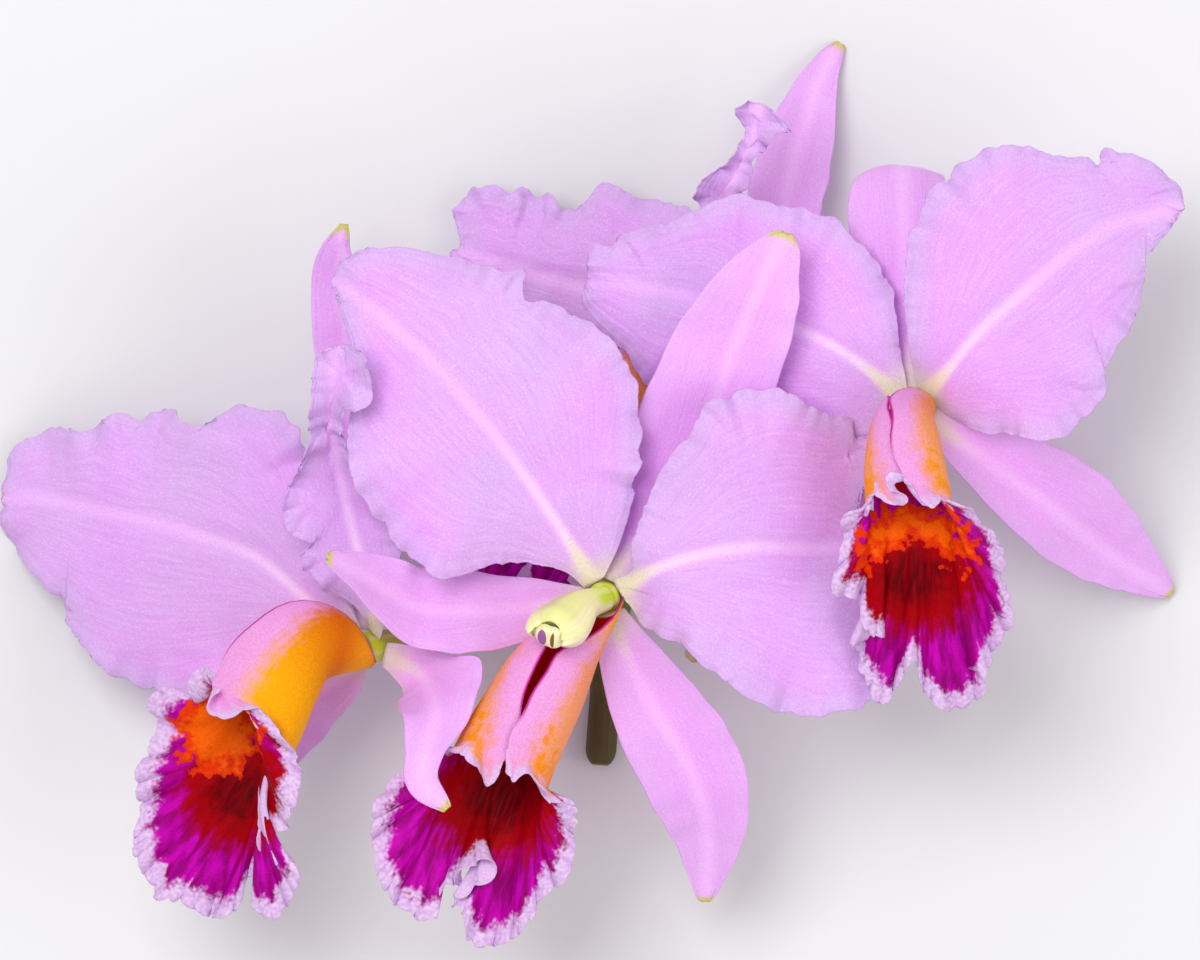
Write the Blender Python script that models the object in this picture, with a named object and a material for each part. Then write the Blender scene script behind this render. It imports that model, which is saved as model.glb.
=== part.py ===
"""A cut spray of a cattleya orchid, laid on its back: four open blooms on one flower stem.

Sizes are in millimetres until a mesh is made. +Z points away from the surface that the spray lies
on, towards whoever looks down on it, and +Y points up the spray.
"""

import math

import bpy
import numpy as np
from mathutils.kdtree import KDTree

MM = 0.001
TO_ORIGIN = np.array((0.25, -0.27, 0.0))
UP = np.array((0.0, 0.0, 1.0))
SEAT_GAP = 0.3

RECEPTACLE_RADIUS = 3.2
RECEPTACLE_TOP = 1.0
PEDICEL_RADIUS = 1.9
STEM_RADIUS = 3.2
STEM_FLAT = 0.65

FOOT_HALF = 2.2
TIP_HALF = 0.6
PETAL_THICKNESS = 0.8
SEPAL_THICKNESS = 1.0
LIP_THICKNESS = 0.8
LIP_LEVEL = 0.3
FRILL_HEIGHT = 1.5
FRILL_LENGTH = 15.0
SEAM_LENGTH = 11.0
SEAM_LIFT = 1.1
BRACT_THICKNESS = 0.6
BRACT_LENGTH = 8.0
BRACT_FLARE = 1.2
BRACT_SIDE = np.array((0.35, -0.85, 0.5))

SEPAL_PROFILE = np.array((0.28, 0.62, 0.88, 1.0, 0.95, 0.74, 0.46))

COLOURS = {
    "petal": ((0.75, 0.40, 0.86), 0.55),
    "sepal": ((0.83, 0.42, 0.86), 0.5),
    "lip": ((0.42, 0.02, 0.28), 0.45),
    "column": ((0.86, 0.82, 0.42), 0.4),
    "anther": ((0.90, 0.84, 0.66), 0.35),
    "pedicel": ((0.46, 0.55, 0.10), 0.5),
    "stem": ((0.12, 0.17, 0.03), 0.55),
    "bract": ((0.30, 0.26, 0.10), 0.7),
}


def unit(vectors):
    """Vectors of length one, along the last axis."""
    vectors = np.asarray(vectors, float)
    return vectors / np.linalg.norm(vectors, axis=-1, keepdims=True)


def smooth(values, at):
    """A smooth curve through evenly spaced values, read at places from 0 to 1."""
    values = np.asarray(values, float)
    values = np.concatenate([[2 * values[0] - values[1]], values, [2 * values[-1] - values[-2]]])
    at = np.clip(at, 0, 1) * (len(values) - 3)
    first = np.minimum(at.astype(int), len(values) - 4)
    part = at - first
    if values.ndim > 1:
        part = part[:, None]
    a, b, c, d = (values[first + step] for step in range(4))
    return b + 0.5 * part * (c - a + part * (2 * a - 5 * b + 4 * c - d + part * (3 * (b - c) + d - a)))


def even(points, at):
    """Points of the smooth curve through these, at even parts of its length from 0 to 1."""
    fine = smooth(points, np.linspace(0, 1, 400))
    length = lengths_along(fine)
    return np.stack([np.interp(at * length[-1], length, axis) for axis in fine.T], axis=1)


def eased(values, start, end):
    """0 before start and 1 after end, with a soft step between."""
    part = np.clip((values - start) / (end - start), 0, 1)
    return part * part * (3 - 2 * part)


def lengths_along(points):
    return np.concatenate([[0], np.cumsum(np.linalg.norm(np.diff(points, axis=0), axis=1))])


def across_grid(grid):
    """The unit vector square to the grid's surface at each of its points."""
    return unit(np.cross(np.gradient(grid, axis=1), np.gradient(grid, axis=0)))


def square_to(directions, tangents):
    """The part of each direction that is square to its tangent, at length one."""
    along = (directions * tangents).sum(axis=1, keepdims=True)
    return unit(directions - along * tangents)


def above_surface(points, lowest):
    """The points with those that would sink below the lowest height pressed flat, softly."""
    softness = 0.5
    over = points[..., 2] - lowest
    points[..., 2] = lowest + 0.5 * (over + np.sqrt(over**2 + softness**2))
    return points


def petal(midrib, left, right, **more):
    """A petal: its midrib after the foot, and its margins, or half widths, from foot to tip."""
    shape = {
        "level": -0.6,
        "blunt": 8,
        "cup": -0.12,
        "face": [UP, UP],
        "groove": 0.8,
        "ruffles": [(1.3, 27.0, 0.0), (0.7, 15.0, 1.3)],
        "thickness": PETAL_THICKNESS,
        "grid": (18, 8),
    }
    return {**shape, "midrib": midrib, "left": left, "right": right, **more}


def sepal(midrib, left, right, **more):
    """A sepal: the same, where one half width for a side stands for the profile that sepals share."""
    shape = {
        "level": -2.2,
        "blunt": 3.5,
        "cup": 0.12,
        "face": [UP, UP],
        "groove": 0.3,
        "ruffles": [],
        "thickness": SEPAL_THICKNESS,
        "grid": (10, 4),
    }
    left, right = (width if np.ndim(width) else width * SEPAL_PROFILE for width in (left, right))
    return {**shape, "midrib": midrib, "left": left, "right": right, **more}


def turned(points, centre, new_centre, angle, scale):
    """Points moved from one centre to another, turned about +Z and scaled."""
    sine, cosine = math.sin(angle), math.cos(angle)
    turn = np.array(((cosine, -sine, 0), (sine, cosine, 0), (0, 0, 1)))
    return (np.asarray(points, float) - centre) * scale @ turn.T + new_centre


LEFT_MOUTH = np.array((-67.4, -44.8, 59.0))
LEFT_RIM = [
    (-76.0, -36.2, 63), (-78.6, -35.4, 60), (-80.2, -37.4, 57), (-78.4, -41.4, 54), (-80.6, -40.0, 51),
    (-84.2, -39.2, 49), (-87.2, -41.2, 47), (-88.0, -48.4, 46), (-89.4, -55.4, 45), (-90.6, -62.0, 44.5),
    (-91.4, -69.6, 44), (-90.0, -76.4, 44), (-86.6, -81.2, 44), (-81.6, -81.6, 45), (-77.0, -85.0, 46),
    (-71.8, -83.6, 48), (-68.4, -76.6, 51), (-66.2, -80.0, 53.5), (-64.4, -85.4, 56), (-60.8, -82.4, 58),
    (-59.0, -76.6, 60), (-62.4, -71.4, 60), (-65.2, -72.4, 57), (-64.9, -68.2, 58), (-62.6, -67.6, 63),
    (-59.6, -62.8, 66), (-58.0, -56.8, 67), (-60.0, -51.0, 69), (-62.4, -46.8, 70), (-66.2, -43.8, 71),
    (-69.6, -44.6, 71), (-74.6, -43.6, 69.5), (-74.8, -39.0, 68),
]
LEFT_DORSAL = [(-0.1, 0.9, 0.45), (-0.5, 0.8, 0.4), (-0.8, 0.5, 0.35)]
BACK_MOUTH = np.array((1.2, 10.4, 31.0))
BACK_TURN = math.radians(-25)
BACK_SCALE = 0.92
BACK_DORSAL = turned(LEFT_DORSAL, (0, 0, 0), (0, 0, 0), BACK_TURN, 1)

BLOOMS = {}
BLOOMS["middle_bloom"] = {
    "centre": (2.2, -21.2, 55.0),
    "facing": (-0.08, -0.12, 1.0),
    "blades": {
        "left_petal": petal(
            [(-9.4, -2.6, 60), (-20.4, 12.4, 62), (-34.4, 28.4, 60), (-52.4, 42.6, 54)],
            [
                (-5.2, -16), (-9.4, -14.8), (-18.4, -14.6), (-24.4, -16.2), (-30.8, -17.2),
                (-36.4, -13.6), (-43.4, -4.6), (-48.4, 4.4), (-49.4, 12.4), (-48, 20.4),
                (-48.4, 28.4), (-50.4, 36.4),
            ],
            [
                (4, -13.6), (6.6, -7.6), (9.2, 2.4), (9.6, 12.4), (9, 21.4), (5.6, 28.4),
                (-0.4, 33.4), (-8.4, 38.4), (-12.8, 38.8), (-14.4, 44.4), (-18.4, 44.4),
                (-24.4, 46), (-30.4, 48), (-38.4, 49.2), (-44.4, 48.8), (-49.4, 46.8),
            ],
        ),
        "right_petal": petal(
            [(15.6, -14.2, 61), (29.6, -11.2, 60.5), (43.6, -11.2, 56), (57.4, -11.0, 48.5)],
            [
                (8, -15.6), (8, -10.2), (10.2, -3.6), (15, 5.8), (21.6, 15.8), (23.6, 18),
                (30.2, 20), (37, 19.8), (41.6, 18.4), (44.6, 16.8), (48.2, 15.4), (52, 15),
                (52.6, 11), (57, 10.8), (55, 5), (54, -1.6), (55.6, -7.6),
            ],
            [
                (10.2, -26), (13.6, -28.2), (17.6, -30.2), (21, -33.6), (24.2, -36), (29, -40),
                (34.2, -42.2), (39, -44.2), (45, -45.2), (49.6, -44.2), (54.2, -42.2),
                (56.6, -40.2), (57.4, -34), (58.6, -27), (59, -20), (57.8, -14),
            ],
            blunt=24,
            cup=0.01,
        ),
        "dorsal_sepal": sepal(
            [
                (6.6, -12.6, 52.5), (13.6, -2.6, 51), (21.6, 10.4, 51), (27.8, 27.4, 53.2),
                (33.6, 41.4, 56), (38.6, 51.8, 56),
            ],
            [
                (3.2, -13.6), (3.8, -7.6), (5.2, 0.4), (7.2, 10.4), (10.2, 19), (13, 24.4),
                (15.6, 31), (20.2, 37.8), (25.6, 44.4), (31, 49), (35.6, 51.8),
            ],
            [
                (9.6, -16.6), (15.2, -9.6), (21.6, -0.6), (28.6, 8.4), (34.6, 15.4), (37, 21.4),
                (39.6, 29.8), (41.2, 37), (41.4, 43), (41.4, 48.4), (40.2, 51.2),
            ],
        ),
        "left_lateral_sepal": sepal(
            [
                (-10.4, -22.8, 49.5), (-22.4, -24, 51), (-34.4, -23.2, 55), (-44.4, -17.6, 63),
                (-53, -13, 72),
            ],
            9.5,
            9.0,
            face=[(0, 0, 1), (0, 0.35, 0.93), (0.4, 0.3, 0.85)],
        ),
        "right_lateral_sepal": sepal(
            [
                (7, -32.6, 49), (12.6, -43.6, 46), (19.6, -55.6, 40), (23.2, -67.6, 31),
                (22.8, -82.2, 20),
            ],
            11.0,
            10.5,
        ),
    },
    "lip": {
        "axis": [
            (-4.4, -31.6, 58.4), (-10.0, -39.6, 59.2), (-15.6, -49.6, 60), (-18.0, -54.6, 60.4),
        ],
        "dorsal": [(-0.35, 0.3, 0.9), (-0.25, 0.1, 0.95), (0, 0, 1)],
        "radii": [4.3, 6.4, 8.6, 9.4, 10.0],
        "opening": [56, 122, 166, 172, 176, 179, 178],
        "swing": 0.8,
        "slant": 3.0,
        "rim": [
            (-17.6, -54.0, 71), (-18.4, -57.0, 71.5), (-20.6, -58.8, 71.5), (-22.6, -55.8, 70),
            (-24.8, -53.4, 68), (-28.6, -52.0, 64), (-32.4, -52.6, 60), (-37.0, -54.8, 58),
            (-40.4, -58.0, 56), (-42.4, -63.6, 55.5), (-44.0, -70.6, 55), (-42.2, -77.4, 54.5),
            (-39.6, -82.0, 54), (-35.0, -85.0, 53), (-31.0, -84.6, 52), (-29.4, -78.8, 54),
            (-22.4, -74.8, 56), (-22.6, -78.4, 56), (-26.2, -82.0, 54.5), (-26.0, -87.4, 53),
            (-22.4, -90.8, 52), (-16.6, -89.6, 52.5), (-12.2, -85.4, 54), (-9.8, -80.8, 55),
            (-5.6, -76.4, 56), (-3.4, -71.4, 57), (-3.4, -66.0, 59), (-4.6, -60.8, 62),
            (-9.2, -62.2, 65), (-8.8, -58.4, 69), (-12.6, -56.0, 71), (-15.6, -57.8, 71),
            (-17.0, -54.4, 71),
        ],
    },
    "column": [(-2.6, -23.2, 62.6), (-6.2, -26.4, 67.0), (-8.2, -28.4, 70.2)],
    "column_back": (0.2, 1.0, 0.3),
    "column_width": 1.0,
    "pedicel": [(2.4, -20.8, 46), (3.0, -18.6, 30), (5.0, -15.0, 16)],
    "joins_stem": (0.6, (-0.1, 0.1, 1.0)),
}

BLOOMS["left_bloom"] = {
    "centre": (-45.4, -31.2, 45.0),
    "facing": (-0.7, -0.1, 0.7),
    "blades": {
        "left_petal": petal(
            [
                (-55.5, -23.2, 38), (-68.4, -12.6, 32), (-82.6, -7.6, 26), (-97.0, -4.0, 18),
                (-111.2, -1.2, 8), (-118.4, -2.0, 2),
            ],
            [
                (-54.4, -32.6), (-64.4, -37.6), (-76, -41.4), (-87.6, -40.4), (-93.4, -38.2),
                (-99.8, -34), (-104.2, -29.8), (-107.4, -25.8), (-105.2, -23.2), (-107.6, -21.2),
                (-111.2, -18), (-114.2, -14.8), (-118.2, -11.8), (-118.6, -5.6),
            ],
            [
                (-52.4, -13.6), (-54.8, -1.6), (-57, 8.8), (-61.2, 14.6), (-68.4, 17),
                (-72.8, 17.4), (-75.6, 15.6), (-78.4, 13.2), (-82.6, 13.8), (-86.2, 16.6),
                (-89.8, 16.4), (-92, 14.6), (-95.6, 16.6), (-99.2, 13.4), (-104.2, 12),
                (-109.8, 12.8), (-115.6, 10.6), (-118, 7),
            ],
            face=[(-0.45, -0.1, 0.85), (-0.3, 0, 0.95), (-0.4, 0, 0.9)],
            cup=-0.05,
            blunt=20,
        ),
        "right_petal": petal(
            [
                (-43.2, -25.2, 48), (-45.6, -16, 47), (-48.8, -5, 47), (-51, 5, 50.5),
                (-52.4, 13.5, 57), (-51.8, 21.4, 63.5), (-51.4, 29, 66),
            ],
            [
                (-45, -26.4), (-48, -22.2), (-53.4, -19.2), (-58, -13.4), (-55.8, -9),
                (-59.8, -6.6), (-61.6, 0.6), (-58.8, 5.4), (-56.2, 10.8), (-55.8, 18.4),
                (-55.2, 26.4),
            ],
            [
                (-38, -16), (-38, -8), (-41.4, 2), (-48.4, 8.4), (-49.8, 13.4), (-48, 17.4),
                (-44.4, 19.4), (-44, 25.8), (-48.8, 29.4),
            ],
            cup=0.3,
            blunt=12,
            face=[(-0.25, 0, 0.95), (-0.1, 0, 0.95)],
            ruffles=[(0.9, 12.0, 0.0), (0.5, 6.3, 1.3)],
        ),
        "dorsal_sepal": sepal(
            [
                (-43.8, -23.5, 41.5), (-45.6, -12, 33), (-47.8, 10.4, 28), (-49.0, 28.4, 26),
                (-50.4, 42, 26), (-49.8, 53.8, 28),
            ],
            [
                (-51.4, -13.6), (-50.4, -5.6), (-52.4, 8.4), (-54.8, 21.4), (-56.2, 32.4),
                (-56.4, 40.4), (-55.8, 46), (-54, 50), (-51.4, 52.8),
            ],
            [
                (-41.4, -13.6), (-40.8, -1.6), (-40.8, 12.4), (-42.4, 26.4), (-44.4, 36.4),
                (-47.2, 44), (-48.6, 48.4), (-48.8, 52),
            ],
        ),
        "left_lateral_sepal": sepal(
            [(-49.4, -36.0, 36), (-57.8, -41.6, 30), (-64.4, -50.6, 25), (-69.4, -61.6, 21)],
            8.5,
            8.5,
        ),
        "right_lateral_sepal": sepal(
            [
                (-38.5, -33.8, 47.0), (-33.6, -37.2, 51.0), (-31.4, -43.6, 62.2),
                (-33, -51.6, 68.5), (-33.6, -57.6, 70), (-28.8, -63.2, 71),
            ],
            [2.5, 4.5, 7, 12.2, 9, 5.5, 4, 4.5, 3],
            [2.5, 4.5, 7.2, 7.2, 7, 6, 4.6, 4.7, 3],
            face=[(-0.2, 0, 1), (-0.1, 0, 1), (-0.1, 0.1, 1)],
        ),
    },
    "lip": {
        "axis": [(-53.5, -29.9, 50.5), (-59.0, -31.2, 54), (-63.6, -36.6, 57), LEFT_MOUTH],
        "dorsal": LEFT_DORSAL,
        "radii": [4.4, 7.2, 9.0, 9.9, 10],
        "opening": [60, 138, 174, 178, 179, 179, 178],
        "swing": 2.0,
        "slant": 3.0,
        "rim": LEFT_RIM,
    },
    "column": [(-53.6, -29.6, 52), (-58.6, -31.6, 56), (-62.6, -35.2, 59)],
    "column_back": None,
    "column_width": 0.74,
    "pedicel": [(-38, -30.2, 37), (-26, -28.6, 22), (-10, -26.6, 11.5)],
    "joins_stem": (0.4, (-0.75, 0.0, 0.65)),
}

BLOOMS["right_bloom"] = {
    "centre": (64.6, 16.8, 48.0),
    "facing": (0.15, 0.1, 1.0),
    "blades": {
        "left_petal": petal(
            [
                (49.6, 28.4, 49.5), (34.6, 35.4, 47), (21.6, 39.0, 45), (8.0, 41.4, 43),
                (-1.0, 43.4, 41),
            ],
            [
                (55.6, 11.8), (46, 8.4), (34, 10), (22, 15), (10.4, 22.8), (6.8, 27.6), (1.8, 32),
                (-1.2, 35.6), (-2.2, 39.4),
            ],
            [
                (61, 33.2), (58.8, 42.4), (53.4, 50.4), (46.6, 55.2), (35.6, 57.6), (30, 60.2),
                (26.4, 59.2), (21.4, 57), (16.6, 54.6), (10.4, 52.8), (5.6, 52.2), (3.8, 49.2),
                (1, 49.8), (-0.6, 47.8),
            ],
            blunt=16,
        ),
        "right_petal": petal(
            [
                (70.8, 23.8, 52), (78.0, 32.6, 55), (86.8, 40.4, 55), (96.4, 48.4, 53),
                (105.2, 53.6, 50), (118.2, 56.8, 46),
            ],
            [
                (63, 30.4), (62.2, 38.4), (63, 46.6), (63.8, 52.8), (67.4, 59.8), (73.6, 65.2),
                (79.6, 68.2), (86.2, 69.8), (92, 68.2), (96.4, 67.4), (100, 66.8), (102.2, 65.4),
                (103.4, 68.2), (108.8, 67.4), (114, 65.2), (117.6, 61.6),
            ],
            [
                (75.6, 12.4), (83.2, 11), (88.4, 10.4), (93.8, 11.4), (99, 15), (103.4, 20.2),
                (102.6, 24.6), (106, 30), (109.6, 36), (111.2, 41.8), (109.6, 45.8), (113.2, 49.2),
                (116.2, 53.6),
            ],
            blunt=20,
        ),
        "dorsal_sepal": sepal(
            [
                (62.6, 38.4, 44), (62.4, 52.4, 42), (62.2, 62.2, 37), (62, 65.2, 30), (61.8, 61.4, 22),
                (61.4, 53, 16),
            ],
            11.5,
            10.5,
            cup=-0.2,
            face=[UP, UP, (0, 0.35, 1), (0, 1, 0.35), (0, 0.8, -1)],
        ),
        "left_lateral_sepal": sepal(
            [(56, 8, 43), (46, -3, 36), (34, -17, 30), (19.6, -33.6, 20)],
            10.0,
            10.0,
        ),
        "right_lateral_sepal": sepal(
            [(76, 8.4, 44), (90, -1.6, 34), (103, -11.6, 18), (116.6, -20.6, 1)],
            12.0,
            9.0,
        ),
    },
    "lip": {
        "axis": [(62.6, 15.0, 58), (62.2, 10.4, 65), (62.4, 4.4, 69), (63.0, -1.6, 71)],
        "dorsal": [(-0.6, 0.7, 0.3), (-0.4, 0.7, 0.6), (-0.1, 0.3, 0.95)],
        "radii": [4.2, 5.2, 6.6, 7.8, 8.4],
        "opening": [60, 142, 176, 178, 179, 179, 178],
        "swing": 2.5,
        "slant": 2.0,
        "rim": [
            (62.2, 2.6, 80), (59.2, 3.2, 80), (62.0, -1.4, 81), (59.4, -2.4, 79),
            (56.0, -1.0, 76), (54.8, -4.6, 74), (52.0, -3.6, 72), (50.0, -7.6, 70),
            (49.4, -13.0, 68), (49.2, -18.8, 66), (52.4, -20.4, 64), (53.8, -25.6, 62),
            (56.6, -29.4, 60), (52.4, -30.6, 57), (54.8, -36.8, 55), (58.6, -42.2, 54),
            (63.6, -33.2, 58), (65.6, -37.6, 56.5), (68.0, -41.8, 54), (72.4, -43.4, 52),
            (77.4, -41.6, 52.5), (78.4, -38.0, 54), (77.2, -36.0, 55.5), (80.2, -32.8, 56),
            (82.0, -27.6, 58), (82.8, -21.6, 60.5), (82.4, -15.6, 63), (80.0, -9.6, 66),
            (77.4, -4.6, 69), (74.2, -2.6, 73), (69.8, -1.4, 77), (66.6, -3.6, 79.5),
            (63.4, 2.2, 80),
        ],
    },
    "column": [(62.8, 15.6, 57), (62.1, 12.0, 62.5), (62.0, 7.6, 66)],
    "column_back": None,
    "column_width": 0.74,
    "pedicel": [(63.4, 15.8, 39), (56, 14.4, 25), (41, 14.6, 11)],
    "joins_stem": (1.0, None),
}

BLOOMS["back_bloom"] = {
    "centre": (30.0, 29.4, 22.0),
    "facing": (-0.6, 0.1, 0.75),
    "blades": {
        "left_petal": petal(
            [(16, 35.4, 15.5), (2, 40.4, 12.5), (-12, 44, 10), (-28.4, 48.4, 7)],
            [2.2, 10, 15, 15, 12, 8, 4],
            [
                (24, 45), (21.2, 55), (9.6, 59.2), (5.4, 61.4), (2.8, 62.4), (0.6, 61.6), (-2, 58),
                (-4.2, 56.8), (-6.6, 57.4), (-9.4, 59.6), (-11.4, 58.8), (-13.2, 61.4),
                (-15.2, 61.6), (-16.4, 60), (-18.6, 61.4), (-22.6, 61.6), (-26.6, 58.6),
                (-28.4, 56.2), (-26, 52.4), (-26, 49.6),
            ],
            blunt=16,
            face=[(-0.3, 0, 1), (-0.3, 0, 1)],
        ),
        "right_petal": petal(
            [
                (29.4, 40.4, 24), (28.2, 50.4, 26), (27.6, 59.4, 28), (31.2, 68.4, 31),
                (33.8, 77.8, 34),
            ],
            [
                (22.6, 42), (21, 50), (21.4, 57.8), (21.2, 60.2), (22.6, 63.8), (26.4, 65.6),
                (30, 70.6), (30.4, 74.2), (28.8, 78.2),
            ],
            [
                (33, 42), (32.6, 50), (31.2, 58.8), (31.8, 63.8), (32.6, 67.4), (35.6, 69.2),
                (36.8, 72.4), (40.2, 73), (36.8, 76.6),
            ],
            cup=0.35,
            blunt=12,
            ruffles=[(1.2, 10.0, 0.0), (0.7, 6.0, 1.3)],
        ),
        "dorsal_sepal": sepal(
            [(36, 46, 15), (39.6, 62, 11), (42.8, 74, 7), (46.2, 84, 3), (50.2, 90.6, 1)],
            8.0,
            8.0,
        ),
        "left_lateral_sepal": sepal(
            [(23.5, 26.4, 14.5), (15, 22.5, 9.5), (6, 18.5, 7), (-4, 14, 7)],
            8.0,
            8.0,
        ),
        "right_lateral_sepal": sepal(
            [(31.0, 20, 21.5), (32.5, 9, 20), (34.5, -2, 16), (36, -13, 11)],
            8.0,
            8.0,
        ),
    },
    "lip": {
        "axis": [(21.6, 28.4, 27.5), (13.6, 24.4, 29), (6.6, 18.4, 30), BACK_MOUTH],
        "dorsal": BACK_DORSAL,
        "radii": [4.2, 6.2, 8.0, 8.8, 9.0],
        "opening": [60, 138, 174, 178, 179, 179, 178],
        "swing": 2.0,
        "slant": 3.0,
        "rim": turned(LEFT_RIM, LEFT_MOUTH, BACK_MOUTH, BACK_TURN, BACK_SCALE),
    },
    "column": [(21.6, 28.8, 26.8), (16.8, 26.4, 28.6), (12.8, 24, 29.8)],
    "column_back": None,
    "column_width": 0.74,
    "pedicel": [(32.6, 26.0, 14.0), (27.0, 19.0, 11.5)],
    "joins_stem": (0.88, (0.1, 0.0, 1.0)),
}

STEM_PATH = [(1.6, -55.2), (3.0, -38.0), (5.4, -20.0), (10.6, -3.6), (16.6, 7.6), (21.6, 13.4)]
STEM_RADII = (STEM_RADIUS, STEM_RADIUS, STEM_RADIUS, 2.8, 2.2)


def material(name):
    colour, roughness = COLOURS[name]
    made = bpy.data.materials.new(name)
    made.use_nodes = True
    shader = made.node_tree.nodes["Principled BSDF"]
    shader.inputs["Base Color"].default_value = (*colour, 1)
    shader.inputs["Roughness"].default_value = roughness
    return made


def new_object(name, points, faces, look):
    """An object in metres from points in millimetres, moved so that the spray stands on the origin."""
    mesh = bpy.data.meshes.new(name)
    mesh.from_pydata(((points + TO_ORIGIN) * MM).tolist(), [], faces)
    mesh.shade_smooth()
    mesh.materials.append(look)
    made = bpy.data.objects.new(name, mesh)
    bpy.context.collection.objects.link(made)
    return made


def sheet(name, grid, thickness, look):
    """A thin blade with the grid as its middle, split into triangles before it is thickened."""
    rows, columns = grid.shape[:2]
    faces = []
    for row in range(rows - 1):
        for column in range(columns - 1):
            corner = row * columns + column
            across, up, far = corner + 1, corner + columns, corner + columns + 1
            if 2 * column < columns - 1:
                faces += [(corner, across, far), (corner, far, up)]
            else:
                faces += [(corner, across, up), (across, far, up)]
    made = new_object(name, grid.reshape(-1, 3), faces, look)
    solid = made.modifiers.new("thickness", "SOLIDIFY")
    solid.thickness = thickness * MM
    solid.offset = 0
    return made


def loft(name, rings, look):
    """A closed solid skinned over rings with the same number of points."""
    count, sides = rings.shape[:2]
    faces = [tuple(reversed(range(sides)))]
    for ring in range(count - 1):
        for side in range(sides):
            after = (side + 1) % sides
            base = ring * sides
            faces.append((base + side, base + after, base + after + sides, base + side + sides))
    faces.append(tuple(range((count - 1) * sides, count * sides)))
    return new_object(name, rings.reshape(-1, 3), faces, look)


def rings_along(path, widths, depths, upward, sides):
    """Oval rings square to a path; the depth is measured along the upward direction."""
    tangents = unit(np.gradient(path, axis=0))
    up = square_to(np.broadcast_to(upward, path.shape), tangents)
    across = np.cross(up, tangents)
    angles = 2 * math.pi * (np.arange(sides) + 0.5) / sides
    wide = across[:, None] * np.cos(angles)[None, :, None] * np.asarray(widths)[:, None, None]
    deep = up[:, None] * np.sin(angles)[None, :, None] * np.asarray(depths)[:, None, None]
    return path[:, None] + wide + deep


def foot_of(bloom, blade):
    """Where a blade starts: just outside the receptacle, on the side that its midrib leaves by."""
    centre = np.asarray(bloom["centre"], float)
    facing = unit(bloom["facing"])
    outward = np.asarray(blade["midrib"][0], float) - centre
    outward = unit(outward - (outward @ facing) * facing)
    return centre + blade["level"] * facing + (RECEPTACLE_RADIUS + SEAT_GAP) * outward


def reach_of(measures, side, midrib, faces, along, blunt):
    """The vectors from the midrib to one margin, where side is -1 for the left one and 1 for the right."""
    rightward = np.cross(unit(np.gradient(midrib, axis=0)), faces)
    if np.ndim(measures) == 1:
        tip = np.sqrt(np.maximum(1 - along**blunt, 0))
        width = 0.7 + tip * np.maximum(smooth(measures, along) - 0.7, 0)
        return side * width[:, None] * rightward
    ends = midrib[[0, -1]] + side * rightward[[0, -1]] * ((FOOT_HALF,), (TIP_HALF,))
    line = even([ends[0, :2], *measures, ends[1, :2]], np.linspace(0, 1, len(midrib)))
    reach = np.zeros(midrib.shape)
    reach[:, :2] = line - midrib[:, :2]
    reach[:, 2] = -(reach * faces).sum(axis=1) / faces[:, 2]
    return reach


def nearest_margin(flat):
    """For each point of an unwaved blade: its distance to the margin, and how far along that lies."""
    margin = np.concatenate([flat[:, 0], flat[::-1, -1]])
    run = lengths_along(margin)
    fine = np.linspace(0, run[-1], 20 * len(run))
    tree = KDTree(len(fine))
    for number, point in enumerate(zip(*(np.interp(fine, run, axis) for axis in margin.T))):
        tree.insert(point, number)
    tree.balance()
    found = [tree.find(point)[1:] for point in flat.reshape(-1, 3).tolist()]
    edge = np.array([distance for _, distance in found]).reshape(flat.shape[:2])
    return edge, fine[[number for number, _ in found]].reshape(flat.shape[:2])


def waves(edge, run, half, ruffles):
    """Height and outward pull of the ruffles, which run along the margin and fade inwards."""
    height = np.zeros(edge.shape)
    pull = np.zeros(edge.shape)
    for size, length, phase in ruffles:
        turn = 2 * math.pi * run / length + phase + 0.8 * np.sin(run / length * 1.9 + phase)
        strength = size * np.clip(1 - edge / half, 0, 1) ** 2.2
        height += strength * np.sin(turn)
        pull += 0.3 * strength * np.cos(turn)
    return height, pull


def blade_grid(bloom, blade):
    """The blade's middle surface: rows from foot to tip, columns from left to right margin."""
    rows, columns = blade["grid"]
    along = 1 - (1 - np.linspace(0, 1, rows + 1)) ** 1.3
    across = np.linspace(-1, 1, columns + 1)
    midrib = even([foot_of(bloom, blade), *blade["midrib"]], along)
    free = np.minimum(along * 4, 1)[:, None]
    faces = free * unit(smooth(blade["face"], along)) + (1 - free) * unit(bloom["facing"])
    faces = square_to(faces, unit(np.gradient(midrib, axis=0)))
    left = reach_of(blade["left"], -1, midrib, faces, along, blade["blunt"])[:, None]
    right = reach_of(blade["right"], 1, midrib, faces, along, blade["blunt"])[:, None]
    reach = np.where(across[:, None] < 0, left, right)
    flat = midrib[:, None] + np.abs(across)[:, None] * reach
    width = np.linalg.norm(reach, axis=2)
    edge, run = nearest_margin(flat)
    height, pull = waves(edge, run, 0.5 * width.max(), blade["ruffles"])
    rise = blade["cup"] * width * across**2 * np.minimum(along * 3, 1)[:, None]
    depth = blade["groove"] * np.minimum(along * 6, 1) * (1 - 0.8 * along**3)
    rise -= depth[:, None] * np.exp(-((across * width / 2.5) ** 2))
    rise += free * height
    outward = reach / np.maximum(width, 0.1)[..., None]
    grid = flat + outward * (free * pull * np.abs(across))[..., None] + faces[:, None] * rise[..., None]
    return above_surface(grid, blade["thickness"] / 2)


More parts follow.
